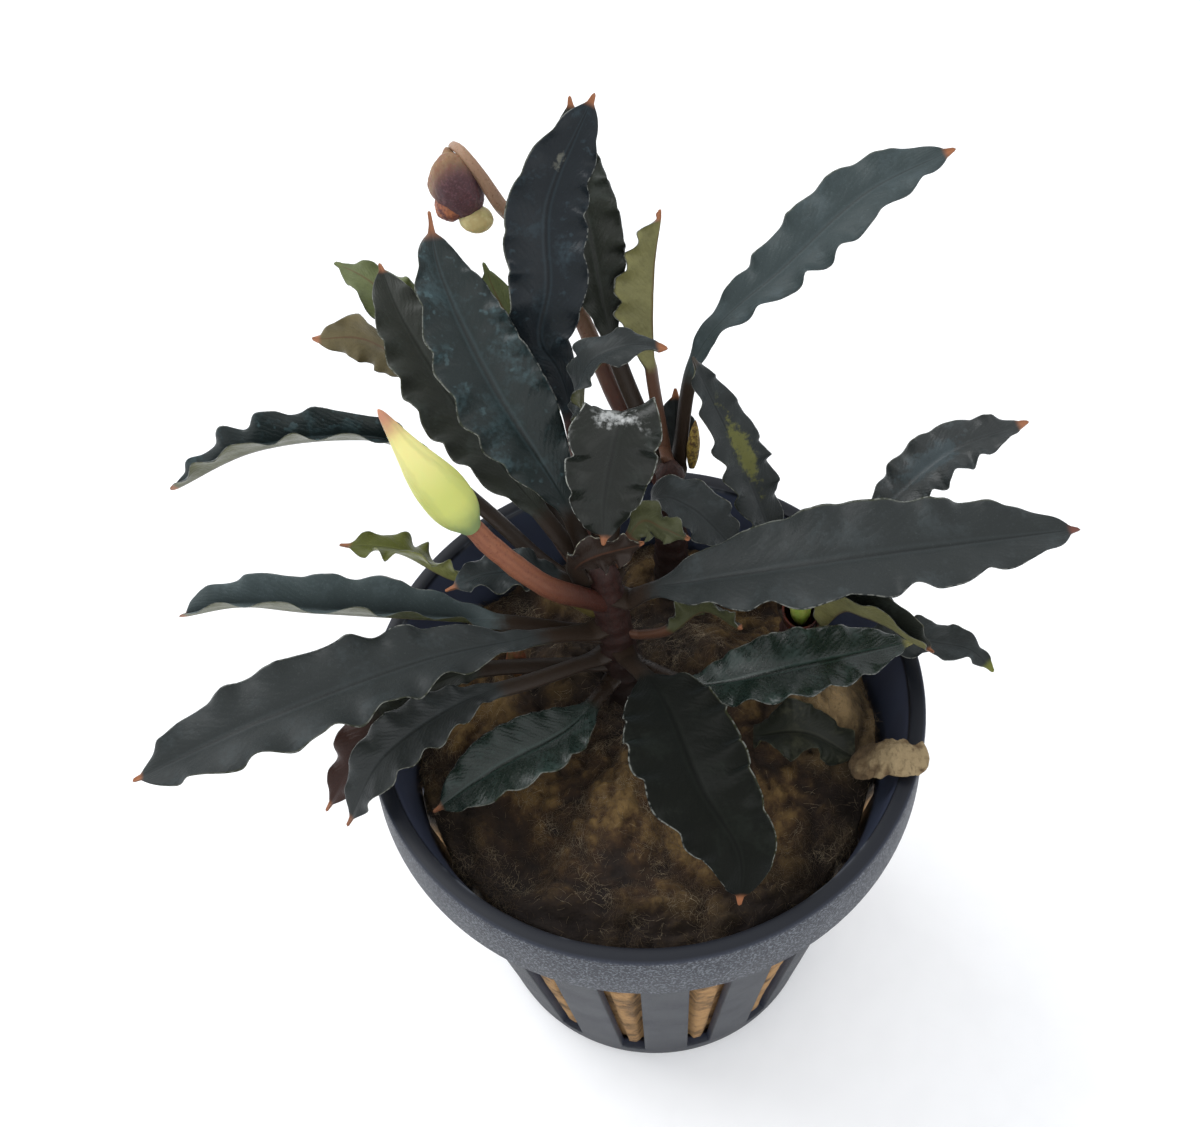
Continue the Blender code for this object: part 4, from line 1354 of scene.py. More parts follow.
        scale = next(out for out in size.outputs if out.type == "VALUE")
        form.feed(placed_threads, Points=form.out(strewn, "Points"), Instance=form.out(thread),
                  Rotation=form.out(both), Scale=Signal(form.tree, scale))
        form.end(form.out(placed_threads))
        return form

    def build(self) -> None:
        """Make the plug of wool and its fibres."""
        mesh = self.surface()
        area = math.pi * (self.pot.body_top_radius * MM) ** 2
        fibres = self.fibre_form().run("wool_fibres", mesh.copy(), Density=self.fibres / area,
                                       Length=self.fibre_length * MM, Thickness=self.fibre_radius * MM,
                                       Lowest=(self.top - self.shoulder) * MM,
                                       Material=self.fibre_finish.build("wool_fibre"))
        finish = self.finish.build("fibre_wool", self.top - self.shoulder + 1.0)
        dress(placed("wool_plug", mesh), finish, "fibre_wool", "wool")
        register(fibres, "fibre_wool")


@dataclass(frozen=True)
class Leaf:
    """One leaf: where it grows, the path of its midrib, its sizes and its finish."""

    name: str
    stem: Stem | None
    height: float
    path: tuple[Point, ...]
    stalk: float = 0.2
    width: float = 8.0
    peak: float = 0.5
    roll: tuple[float, float] = (0.0, 0.0)
    fold: float = 14.0
    ripple: float = 0.6
    waves: int = 8
    heading: float | None = None
    scallop: float = 0.15
    claw: float = 1.2
    flipped: bool = False
    finish: LeafFinish = LeafFinish()
    slot: str = "leaf_dark"
    foot_gap: float = 0.7

    def route(self) -> tuple[Route, float]:
        """Return the midrib from inside the stem to the tip, and the stalk's share of it."""
        if self.stem is None:
            return Route(self.path), self.stalk
        centre, radius = self.stem.axis(self.height)
        out = Vector(self.path[0]) - centre
        out.z = 0.0
        foot = centre + out.normalized() * (radius + self.foot_gap)
        route = Route((foot, *self.path))
        inner, outer = (foot - centre).length, route.length
        route.table.insert(0, centre)
        route.lengths = [0.0] + [length + inner for length in route.lengths]
        route.length = route.lengths[-1]
        return route, (inner + self.stalk * outer) / route.length

    def direction(self, route: Route) -> Vector:
        """Return the level direction that the leaf grows in.

        Args:
            route: The leaf's midrib.

        Returns:
            The direction, 1 long.
        """
        if self.heading is not None:
            angle = math.radians(self.heading)
            return Vector((math.cos(angle), math.sin(angle), 0.0))
        reach = route.points[-1] - route.points[0]
        return Vector((reach.x, reach.y, 0.0)).normalized()


class BladeForm(NodeForm):
    """The tree that lays a rippled blade with its stalk and claw along a midrib."""

    ROWS = 161
    COLUMNS = 49
    EASE = 0.25
    CLUSTER = 0.4
    BASE_TAPER = 0.85
    TIP_TAPER = 0.53
    LOBE_ROUND = 0.35
    LOBE_SOFT = 0.03
    MEAN_LOBE = 0.70
    LOBE_REACH = 2.6
    PHASE_WANDER = 3.6
    SIZE_WANDER = 1.9
    OUTLINE_WANDER = 0.20
    SWING_SHIFT = 1.7
    SWING_WANDER = 3.0
    SIDE_LAG = 1.2
    SMOOTHING = 0.0007
    FOOT_FLARE = 0.9
    VEIN_HEIGHT = 0.00010
    GROOVE_FADE_HALF = 0.003
    THIN_FADE_HALF = 0.0003
    FOOT_CLOSING, TIP_CLOSING = 0.004, 0.003
    LARGEST_CLAW = 0.3
    MIDRIB_STEPS = 120

    def __init__(self) -> None:
        """Make the tree with its named inputs."""
        super().__init__("leaf_blade", (
            ("Stalk share", "NodeSocketFloat", 0.2),
            ("Width", "NodeSocketFloat", 0.008),
            ("Peak power", "NodeSocketFloat", 1.0),
            ("Fold", "NodeSocketFloat", 0.25),
            ("Ripple", "NodeSocketFloat", 0.0006),
            ("Scallop", "NodeSocketFloat", 0.1),
            ("Waves", "NodeSocketFloat", 8.0),
            ("Roll start", "NodeSocketFloat", 0.0),
            ("Roll end", "NodeSocketFloat", 0.0),
            ("Heading", "NodeSocketVector", None),
            ("Claw share", "NodeSocketFloat", 0.04),
            ("Claw half width", "NodeSocketFloat", 0.00036),
            ("Stalk half width", "NodeSocketFloat", 0.00045),
            ("Stalk half depth", "NodeSocketFloat", 0.00045),
            ("Blade half depth", "NodeSocketFloat", 0.00011),
            ("Rib depth", "NodeSocketFloat", 0.00035),
            ("Rib half width", "NodeSocketFloat", 0.0005),
            ("Groove", "NodeSocketFloat", 0.00011),
            ("Underside up", "NodeSocketFloat", 0.0),
            ("Seed", "NodeSocketFloat", 0.0),
            ("Material", "NodeSocketMaterial", None)))
        self.fill()

    def wander(self, t: Signal, sign: Signal, pace: float, shift: float = 0.0) -> Signal:
        """Return a slow noise along the blade, its own on each side, from about -0.5 to 0.5.

        Args:
            t: The share of the blade.
            sign: Which side it is, -1 or 1.
            pace: How fast the noise changes.
            shift: Sets one use of the noise apart from the others.

        Returns:
            The noise.
        """
        node = self.node("ShaderNodeTexNoise", noise_dimensions="1D")
        self.feed(node, W=t * pace + sign * 5.0 + self.value("Seed") + shift, Scale=1.0, Detail=2.0)
        return self.out(node) - 0.5

    def fill(self) -> None:
        """Add the nodes from the midrib to the finished blade."""
        grid = self.node("GeometryNodeMeshGrid")
        self.feed(grid, Size_X=1.0, Size_Y=1.0, Vertices_X=self.ROWS, Vertices_Y=self.COLUMNS)
        split = self.node("ShaderNodeSeparateXYZ")
        self.feed(split, Vector=self.out(self.node("GeometryNodeInputPosition")))
        share = self.out(split, "X") + 0.5
        turn = self.out(split, "Y") + 0.5
        s = share * ((1.0 + self.EASE) - share * self.EASE)
        stalk = self.value("Stalk share")
        t = (s - stalk) / (1.0 - stalk)
        across = (((turn * 4.0 - 2.0).size() - 1.0) * (1.0 - self.CLUSTER)
                  + (turn * math.tau).cos() * self.CLUSTER)
        below = turn.above(0.5)
        under = (below - self.value("Underside up")).size()
        half, swing = self.half_width(t, s, across)
        lift = self.lift(t, across, half, swing, below, under)
        centre, side, up = self.axes(s, t)
        fold = self.value("Fold") * t.rise(-0.02, 0.12)
        sideways = calc_vector(self.tree, "SCALE", side, across * half * fold.cos())
        upwards = calc_vector(self.tree, "SCALE", up, lift + across.size() * half * fold.sin())
        place = calc_vector(self.tree, "ADD", centre, calc_vector(self.tree, "ADD", sideways, upwards))
        mesh = self.store(self.out(grid), "along", t)
        mesh = self.store(mesh, "across", across)
        mesh = self.store(mesh, "under", under)
        claw = self.value("Claw share")
        mesh = self.store(mesh, "claw", ((t - 1.0) / claw + 1.15).kept())
        moved = self.feed(self.node("GeometryNodeSetPosition"), Geometry=mesh, Position=place)
        merged = self.feed(self.node("GeometryNodeMergeByDistance"), Geometry=self.out(moved),
                           Distance=MERGE)
        flipped = self.feed(self.node("GeometryNodeFlipFaces"), Mesh=self.out(merged))
        self.end(self.out(flipped))

    def half_width(self, t: Signal, s: Signal, across: Signal) -> tuple[Signal, Signal]:
        """Return half the leaf's width and the waves of its margins, rounded lobes with sharp notches.

        Args:
            t: The share of the blade, below 0 on the stalk.
            s: The share of the whole leaf.
            across: From -1 at one margin to 1 at the other.

        Returns:
            The half width, and the height of the margin's waves, from about -1 to 1.
        """
        claw = self.value("Claw share")
        body = (t / (1.0 - claw * 0.8)).kept()
        taper = self.BASE_TAPER + (self.TIP_TAPER - self.BASE_TAPER) * body
        form = ((body ** self.value("Peak power")) * math.pi).sin().at_least(0.0) ** taper
        sign = across.sign()
        phase = (t * self.value("Waves") * math.tau + sign * self.SIDE_LAG
                 + self.wander(t, sign, 5.0) * self.PHASE_WANDER)
        half_wave = (phase * 0.5).sin()
        size = 1.0 + self.wander(t, sign, 3.0, 40.0) * self.SIZE_WANDER
        lobe = ((half_wave * half_wave + self.LOBE_SOFT) ** self.LOBE_ROUND - self.MEAN_LOBE) * size
        drift = self.wander(t, sign, 2.4, 60.0) * self.OUTLINE_WANDER
        blade = self.value("Width") * 0.5 * form * (1.0 + self.value("Scallop") * lobe + drift)
        hook = self.value("Claw half width") * ((1.0 - t) / claw).kept() ** 0.8
        blade = calc(self.tree, "SMOOTH_MAX", blade, hook, self.SMOOTHING)
        late = self.wander(t, sign, 4.0, 80.0) * self.SWING_WANDER
        swing = (phase + self.SWING_SHIFT + late).sin() * size
        flare = 1.0 + s.rise(0.12, 0.0) * self.FOOT_FLARE
        stalk = self.value("Stalk half width") * (1.0 - t.kept()) * flare
        closing = (s / self.FOOT_CLOSING).kept() ** 0.5 * ((1.0 - s) / self.TIP_CLOSING).kept() ** 0.5
        return (blade + stalk) * closing, swing

    def lift(self, t: Signal, across: Signal, half: Signal, swing: Signal, below: Signal,
             under: Signal) -> Signal:
        """Return how far a point stands above the blade's plane.

        Args:
            t: The share of the blade, below 0 on the stalk.
            across: From -1 at one margin to 1 at the other.
            half: Half the leaf's width.
            swing: The height of the margin's waves, from about -1 to 1.
            below: 1 on the lower face and 0 on the upper face.
            under: 1 on the leaf's pale underside and 0 on its dark side.

        Returns:
            The height.
        """
        edge = across.size()
        blade_part = t.rise(-0.02, 0.10)
        swell = (t.kept() * math.pi).sin().at_least(0.0) ** 0.5
        wave = self.value("Ripple") * swing * swell * edge ** self.LOBE_REACH
        veins = ((t * self.value("Waves") * 2.0 - edge * 1.5) * math.tau).sin() * (1.0 - edge) * edge
        middle = (across * half).bell(self.value("Rib half width"))
        dip = self.value("Groove") * middle * (self.value("Underside up") * 2.0 - 1.0)
        surface = wave + veins * self.VEIN_HEIGHT * swell + dip * half / self.GROOVE_FADE_HALF
        rib = self.value("Rib depth") * middle * (1.0 - t.kept() * 0.7) * under
        round_edge = (1.0 - edge ** 8.0).at_least(0.0) ** 0.5
        thin = self.value("Blade half depth") * round_edge + rib
        thick = self.value("Stalk half depth") * (1.0 - edge * edge).at_least(0.0) ** 0.5
        depth = thick.towards(thin, blade_part) * (half / self.THIN_FADE_HALF).kept()
        return surface * blade_part + depth * (1.0 - below * 2.0)

    def axes(self, s: Signal, t: Signal) -> tuple[Signal, Signal, Signal]:
        """Return the midrib's place, the blade's sideways and its upward direction.

        Args:
            s: The share of the whole leaf.
            t: The share of the blade, below 0 on the stalk.

        Returns:
            The three vectors.
        """
        curve = self.feed(self.node("GeometryNodeMeshToCurve"), Mesh=self.value("Geometry"))
        sample = self.node("GeometryNodeSampleCurve", mode="FACTOR")
        self.feed(sample, Curves=self.out(curve), Factor=s)
        tangent = self.out(sample, "Tangent")
        side = calc_vector(self.tree, "CROSS_PRODUCT", (0.0, 0.0, 1.0), self.value("Heading"))
        part = calc_vector(self.tree, "DOT_PRODUCT", side, tangent)
        square = calc_vector(self.tree, "SUBTRACT", side, calc_vector(self.tree, "SCALE", tangent, part))
        side = calc_vector(self.tree, "NORMALIZE", square)
        roll = self.value("Roll start").towards(self.value("Roll end"), t.kept())
        turned = self.node("ShaderNodeVectorRotate", rotation_type="AXIS_ANGLE")
        self.feed(turned, Vector=side, Axis=tangent, Angle=roll)
        side = self.out(turned)
        return self.out(sample, "Position"), side, calc_vector(self.tree, "CROSS_PRODUCT", tangent, side)

    def grow(self, leaf: Leaf, seed: float) -> bpy.types.Object:
        """Return one leaf as an object with its material.

        Args:
            leaf: The leaf's sizes.
            seed: Sets its irregularities.

        Returns:
            The leaf.
        """
        route, stalk = leaf.route()
        blade = route.length * (1.0 - stalk)
        return self.run(
            leaf.name + "_blade", route.line_mesh(leaf.name, self.MIDRIB_STEPS),
            Stalk_share=stalk, Width=leaf.width * MM, Peak_power=math.log(0.5) / math.log(leaf.peak),
            Fold=math.radians(leaf.fold), Ripple=leaf.ripple * MM, Scallop=leaf.scallop,
            Waves=float(leaf.waves), Roll_start=math.radians(leaf.roll[0]),
            Roll_end=math.radians(leaf.roll[1]), Heading=list(leaf.direction(route)),
            Claw_share=min(leaf.claw / blade, self.LARGEST_CLAW), Seed=seed,
            Underside_up=float(leaf.flipped), Material=leaf.finish.build(leaf.name + "_skin", seed))


DARK = LeafFinish()
GREY = LeafFinish(LeafHue.GREY, shine=0.15)
PALE = LeafFinish(LeafHue.PALE, shine=0.15)
BLUE = LeafFinish(LeafHue.BLUE, gloss=0.38, drops=0.35)
TEAL = LeafFinish(LeafHue.TEAL, gloss=0.36, shine=0.3, drops=0.55)
OLIVE = LeafFinish(LeafHue.OLIVE)
MOSSY = LeafFinish(LeafHue.MOSS, gloss=0.5, shine=0.15)
SATIN = LeafFinish(LeafHue.GREY, shine=0.3)
GREEN = LeafFinish(LeafHue.GREEN, gloss=0.27, shine=0.45, streaks=0.3, midrib=0.6)
YOUNG = LeafFinish(LeafHue.YOUNG, underside=(0.230, 0.240, 0.080), stalk=(0.110, 0.085, 0.025))
FADED = LeafFinish(LeafHue.OLIVE, underside=(0.190, 0.180, 0.070), stalk=(0.090, 0.040, 0.022))
TAN_BACK = replace(FADED, underside=(0.130, 0.105, 0.050))
GREEN_TIP = LeafFinish(LeafHue.OLIVE, underside=(0.110, 0.130, 0.050), tip=(0.120, 0.140, 0.050))
UNDER_BROWN = replace(OLIVE, underside=(0.026, 0.015, 0.010), margin=(0.30, 0.29, 0.22))
SHADY = replace(FADED, underside=(0.075, 0.080, 0.036))
YELLOWED = replace(GREY, tip=(0.060, 0.050, 0.040),
                   patch_or_glare=PatchOrGlare(0.5, -0.2, 0.25, 0.40, (0.150, 0.150, 0.036), 0.7))
SCUFFED = replace(BLUE, stalk=(0.075, 0.028, 0.02),
                  patch_or_glare=PatchOrGlare(0.80, 0.12, 0.045, 0.16, (0.15, 0.15, 0.12), 0.7))
SMEARED = replace(OLIVE, patch_or_glare=PatchOrGlare(0.62, 0.2, 0.2, 0.14, (0.10, 0.14, 0.15), 0.7))
WORN = replace(TEAL, hue=LeafHue.GREY, patch_or_glare=PatchOrGlare(0.42, 0.1, 0.26, 0.5, (0.060, 0.095, 0.110), 0.32))
# The whitish patch across the arching leaf's crest is a painted highlight, its glare.
GLINTING = replace(MOSSY, gloss=0.32, shine=0.3, margin=(0.32, 0.33, 0.30),
                   patch_or_glare=PatchOrGlare(0.365, 0.0, 0.055, 0.60, (0.46, 0.47, 0.46), 0.8))
SOOTY = replace(MOSSY, hue=LeafHue.SOOT, shine=0.08)
# The lighter copy of the pale finish: painted light on a shaded leaf.
LIT_PALE_SKIN = replace(PALE, hue=LeafHue.LIT_PALE)
RED_TIPPED = replace(GREY, tip=(0.150, 0.060, 0.045))
LIME_TIPPED = replace(GREY, tip=(0.150, 0.160, 0.035))
GREEN_LIME_TIPPED = replace(GREEN, tip=(0.14, 0.13, 0.03))
WITHERED = replace(OLIVE, dead_from=0.55)


LEAVES = (
    Leaf("leaf_tall_front", FRONT, 56.2,
         ((-4.5, 20.3, 68.2), (-6.3, 22.9, 72.3), (-5.2, 25.1, 76.6), (-4.5, 29.5, 81.8), (0, 33.4, 89.4)),
         stalk=0.32, width=6.8, peak=0.57, finish=SCUFFED),
    Leaf("leaf_tall_back", BACK, 58.0, ((0, 27, 66), (-1.2, 33, 74), (-2, 37, 79), (-2, 41, 83)),
         stalk=0.36, width=5.4, finish=SMEARED),
    Leaf("leaf_folded_pale", BACK, 59.0, ((3.2, 25.5, 66), (3.8, 30, 72), (5, 32.5, 77)),
         stalk=0.35, width=5.6, roll=(-120, -120), fold=40, waves=6, scallop=0.17, finish=FADED,
         slot="leaf_underside"),
    Leaf("leaf_upper_right", BACK, 57.0,
         ((7.8, 25.4, 66.4), (15.8, 29.2, 72.2), (22.8, 32, 77.2), (30.5, 33.5, 80)),
         stalk=0.22, width=6.4, peak=0.64, waves=7, scallop=0.13, finish=PALE, slot="leaf_grey"),
    Leaf("leaf_yellow_patch", RIGHT, 48.0,
         ((12.3, 12.8, 56.6), (9.7, 15.5, 64.5), (7.6, 17.7, 69.5), (6.3, 18.5, 73.5)),
         stalk=0.2, width=4.6, waves=7, scallop=0.13, finish=YELLOWED, slot="leaf_grey"),
    Leaf("leaf_right_back", RIGHT, 46.0,
         ((17.8, 9.5, 51.8), (23.4, 13.4, 56.3), (29.2, 16, 60.3), (36.4, 17.4, 62)),
         stalk=0.42, width=5.2, waves=6, finish=WORN, slot="leaf_grey"),
    Leaf("leaf_right_long", FRONT, 56.0, ((2.5, 4.6, 60), (11, 2.7, 64.2), (22, 2, 66.4), (37, 3.5, 65)),
         stalk=0.1, width=9.2, waves=7, finish=RED_TIPPED),
    Leaf("leaf_right_low", FRONT, 48.0, ((5, 0, 50.5), (13.5, -1, 54), (24, 0.5, 54)),
         stalk=0.2, width=6.6, ripple=0.4, waves=7, finish=GREEN_LIME_TIPPED),
    Leaf("leaf_right_arched", RIGHT, 47.0,
         ((17.3, 3, 56.4), (18.9, 0.8, 59), (20.9, -1, 59.6), (22.5, -2.1, 58.9), (24.6, -2.6, 57.2)),
         stalk=0.3, width=6.4, fold=72, waves=5, finish=FADED, slot="leaf_underside"),
    Leaf("leaf_right_small", RIGHT, 45.5,
         ((22.1, 2.8, 51.5), (26, 0.9, 52.8), (28.8, -0.4, 53.2), (30.7, -2.1, 52)),
         stalk=0.3, width=3.6, waves=4, finish=LIME_TIPPED, slot="leaf_grey"),
    Leaf("leaf_front", FRONT, 50.0, ((1.5, -3, 54), (3.7, -13, 57), (6.2, -18, 55), (6, -21, 51)),
         stalk=0.14, width=9.2, peak=0.45, heading=-80, finish=SOOTY),
    Leaf("leaf_front_left_low", FRONT, 46.5, ((-7, -2.2, 48.5), (-13.5, -6, 49.5), (-19.5, -8.5, 47)),
         stalk=0.15, width=6.2, ripple=0.3, waves=6, finish=GREEN),
    Leaf("leaf_rim_left", FRONT, 49.2,
         ((-10, 1, 52), (-16, -1.7, 54), (-22.7, -6.3, 54), (-26.5, -10.5, 50)),
         stalk=0.36, width=5.2, peak=0.55, waves=6, finish=SATIN, slot="leaf_grey"),
    Leaf("leaf_rim_left_back", FRONT, 47.6, ((-16, 3, 51), (-23, -2, 52.5), (-29, -7.5, 47)),
         stalk=0.36, width=5.4, waves=6, finish=WITHERED),
    Leaf("leaf_left_long", FRONT, 52.4,
         ((-9.5, 2.9, 56.2), (-19, -0.2, 59.1), (-32, -5, 59.9), (-43.5, -7.5, 56)),
         stalk=0.14, width=8.2, peak=0.57, ripple=0.8, waves=7, finish=GREY, slot="leaf_grey"),
    Leaf("leaf_left_middle", FRONT, 51.0,
         ((-10.5, 6.2, 53.4), (-17, 6.7, 54.6), (-28, 5.2, 60.2), (-34.3, 6.5, 60), (-40.4, 7.7, 57.2)),
         stalk=0.22, width=7.0, fold=62, ripple=0.7, waves=6, finish=LIT_PALE_SKIN, slot="leaf_grey"),
    Leaf("leaf_left_young", FRONT, 52.6,
         ((-9, 10.4, 53.8), (-15.5, 10.4, 55.4), (-20.5, 11.8, 58.5), (-26, 12.8, 58.8)),
         stalk=0.4, width=4.8, roll=(90, 0), waves=5, finish=YOUNG, slot="leaf_young"),
    Leaf("leaf_left_arching", FRONT, 54.6,
         ((-8, 11.2, 55.6), (-13, 15, 59.6), (-18.8, 18, 65), (-23.9, 17.9, 67.6),
          (-32.3, 17.7, 67.2), (-40.8, 18.5, 61.5)),
         stalk=0.4, width=4.8, fold=56, ripple=0.7, waves=6, finish=TEAL),
    Leaf("leaf_upper_left_small", FRONT, 53.4, ((-12.5, 22.5, 60), (-21, 30.5, 65), (-28, 33, 64)),
         stalk=0.6, width=5.0, roll=(-90, -60), waves=4, flipped=True, finish=TAN_BACK,
         slot="leaf_underside"),
    Leaf("leaf_upper_left_back", FRONT, 56.8,
         ((-7.4, 12.5, 60.6), (-14, 21.5, 65), (-18.6, 29.5, 69), (-20.5, 35, 71)),
         stalk=0.2, width=7.2, finish=OLIVE),
    Leaf("leaf_upper_left", FRONT, 59.0,
         ((-6, 12, 65.4), (-10.6, 18.5, 72), (-14, 25.5, 78), (-14.5, 29.5, 82)),
         stalk=0.16, width=8.0, claw=2.4, finish=TEAL),
    Leaf("leaf_upper_left_far", FRONT, 51.6, ((-12.5, 28, 60), (-21, 36, 66), (-25.5, 39.5, 67)),
         stalk=0.66, width=4.8, waves=4, flipped=True, finish=GREEN_TIP, slot="leaf_young"),
    Leaf("leaf_behind_small", FRONT, 54.4, ((-7, 25.5, 64), (-10, 31, 69), (-11, 33, 72)),
         stalk=0.5, width=4.4, waves=4, flipped=True, finish=GREEN_TIP, slot="leaf_young"),
    Leaf("leaf_back_small", BACK, 52.5, ((5.2, 23, 57.5), (5.4, 24.8, 62)),
         stalk=0.3, width=3.4, ripple=0.2, waves=3, finish=GREY, slot="leaf_grey"),
    Leaf("leaf_centre_arched", FRONT, 59.6,
         ((-0.5, 13, 68), (0, 13.5, 73), (-0.5, 11, 74.5), (-2, 8, 69.5), (-2.5, 6, 65)),
         stalk=0.36, width=6.8, peak=0.56, fold=7, ripple=0.8, waves=6, heading=-90, scallop=0.25,
         finish=GLINTING),
    Leaf("leaf_centre_top", FRONT, 58.4,
         ((-3.6, 15.8, 69), (-2.6, 17, 75), (0.8, 17.2, 77), (4.2, 17.6, 75.8)),
         stalk=0.4, width=4.2, waves=5, heading=0, finish=GREY),
    Leaf("leaf_centre_right", FRONT, 57.4,
         ((2.2, 12, 62.3), (5.2, 11, 62.6), (8, 9.4, 59.8), (9.6, 8.2, 56.8)),
         stalk=0.3, width=4.6, waves=5, heading=-40, finish=GREY, slot="leaf_grey"),
    Leaf("leaf_centre_left", FRONT, 56.2, ((-8, 8.2, 58.4), (-12.8, 7.6, 59.8), (-16.5, 6.4, 59.6)),
         stalk=0.2, width=3.8, waves=4, finish=DARK),
    Leaf("leaf_centre_cupped", FRONT, 58.0, ((-5, 7, 61), (-3, 6.8, 63), (1, 7, 63.6)),
         stalk=0.3, width=3.6, roll=(80, 80), waves=3, heading=0, claw=0.5, flipped=True,
         finish=UNDER_BROWN),
    Leaf("leaf_centre_pale", FRONT, 59.0, ((1.2, 9.8, 62.8), (3, 8.8, 63), (5, 7.6, 62.6)),
         stalk=0.3, width=3.2, roll=(70, 70), waves=3, heading=-40, claw=0.5, flipped=True, finish=SHADY,
         slot="leaf_underside"),
    Leaf("leaf_under_right", FRONT, 51.0, ((2.6, 4.8, 52.4), (6, 5.6, 54.4), (9.2, 3.4, 53.8)),
         stalk=0.3, width=4.2, roll=(-66, -66), waves=4, claw=0.5, finish=SHADY, slot="leaf_underside"),
)


@dataclass
class Foliage:
    """All the leaves of the plant."""

    form: BladeForm
    leaves: tuple[Leaf, ...] = LEAVES
    seed_step: float = 7.31

    def build(self) -> None:
        """Grow each leaf in place of its solid."""
        for i, leaf in enumerate(self.leaves):
            register(self.form.grow(leaf, (i + 1) * self.seed_step), leaf.slot, leaf.name)


def tube_rings(route: Route, radius: Callable[[float, float], float], steps: int, sides: int,
               ) -> tuple[list[list[Vector]], dict[str, list[float]]]:
    """Return the rings of a body along a route, with marks for how far along and round each point is.

    Args:
        route: The body's axis.
        radius: Gives the radius at a share of the length and a share of a turn.
        steps: How many rings.
        sides: How many points in a ring.

    Returns:
        The rings and the marks "along" and "turn".
    """
    rings, along_marks, turn_marks = [], [], []
    for k in range(steps + 1):
        s = k / steps
        _, side, up = route.frame(s)
        centre = route.at(s)
        ring = []
        for i in range(sides):
            turn = i / sides
            angle = math.tau * turn
            out = side * math.cos(angle) + up * math.sin(angle)
            ring.append(centre + out * radius(s, turn))
            along_marks.append(s)
            turn_marks.append(turn)
        rings.append(ring)
    return rings, {"along": along_marks, "turn": turn_marks}


@dataclass
class Rhizome:
    """The upright stems, ringed with the scars of old leaves."""

    stems: tuple[Stem, ...] = (FRONT, BACK, RIGHT)
    scar_pitch: float = 1.7
    scar_height: float = 0.22
    scar_sharpness: int = 3
    scar_wander: float = 0.25
    rough_height: float = 0.16
    rough_scale: float = 2.3
    end_round: float = 1.2
    rows: int = 70
    sides: int = 28
    finish: StalkFinish = StalkFinish(
        (0.034, 0.012, 0.009), (0.018, 0.008, 0.006), (0.012, 0.007, 0.005), (0.008, 0.005, 0.004), 0.6)

    def radius(self, stem: Stem, length: float, s: float, turn: float) -> float:
        """Return a stem's radius, with its scars.

        Args:
            stem: The stem.
            length: Its length.
            s: The share of the length.
            turn: The share of a turn.

        Returns:
            The radius.
        """
        plain = stem.root_radius + (stem.top_radius - stem.root_radius) * s
        place = Vector((math.cos(math.tau * turn), math.sin(math.tau * turn), s * length * 0.7))
        scar = (s * length / self.scar_pitch + self.scar_wander * noise.noise(place)) % 1.0
        rough = self.rough_height * noise.noise(place * self.rough_scale)
        end = min(1.0, (1.0 - s) * length / self.end_round + 0.02) ** 0.5
        return (plain + self.scar_height * (scar ** self.scar_sharpness - 0.3) + rough) * end

    def build(self) -> None:
        """Make each stem in place of its solid."""
        material = self.finish.build("rhizome_skin")
        for stem in self.stems:
            route = Route((stem.root, stem.top))
            width = partial(self.radius, stem, route.length)
            rings, marks = tube_rings(route, width, self.rows, self.sides)
            thing = placed(stem.name + "_bark", ring_mesh(stem.name, rings, marks))
            dress(thing, material, "rhizome", stem.name)


@dataclass
class FlowerStalk:
    """A flower's round stalk, from inside its stem to its flower."""

    name: str
    stem: Stem
    height: float
    path: tuple[Point, ...]
    radius: float
    finish: StalkFinish
    taper: float = 0.16
    foot_swell: float = 1.12
    ridges: int = 3
    ridge_height: float = 0.05
    rough_height: float = 0.07
    rows: int = 60
    sides: int = 20

    def width(self, s: float, turn: float) -> float:
        """Return the radius at a share of the length and a share of a turn."""
        ridge = self.ridge_height * math.cos(math.tau * turn * self.ridges)
        rough = self.rough_height * noise.noise(Vector((turn * 5, s * 14, 1.0)))
        return self.radius * (self.foot_swell - self.taper * s ** 3 + (ridge + rough))

    def build(self) -> None:
        """Make the stalk in place of its solid."""
        centre, _ = self.stem.axis(self.height)
        route = Route((centre, *self.path))
        rings, marks = tube_rings(route, self.width, self.rows, self.sides)
        thing = placed(self.name + "_skin", ring_mesh(self.name, rings, marks))
        dress(thing, self.finish.build(self.name), "flower_stalk", self.name)


BUD_STALK = FlowerStalk(
    "bud_stalk", FRONT, 54.6, ((-7.3, 4.5, 61.5), (-11.0, 4.5, 67.4), (-13.0, 5.0, 71.1)),
    0.86, StalkFinish())
SPENT_STALK = FlowerStalk(
    "spent_flower_stalk", BACK, 55.0,
    ((0, 25.2, 60.6), (-3, 31.2, 66.8), (-7.2, 33.8, 74.6), (-8.9, 33.5, 78.3), (-10.05, 33.92, 80.95),
     (-10.98, 34.19, 82.87), (-11.66, 35.22, 83.13), (-12.29, 36.62, 82.37)),
    0.75, StalkFinish((0.310, 0.185, 0.120), (0.270, 0.180, 0.100)), 0.6)


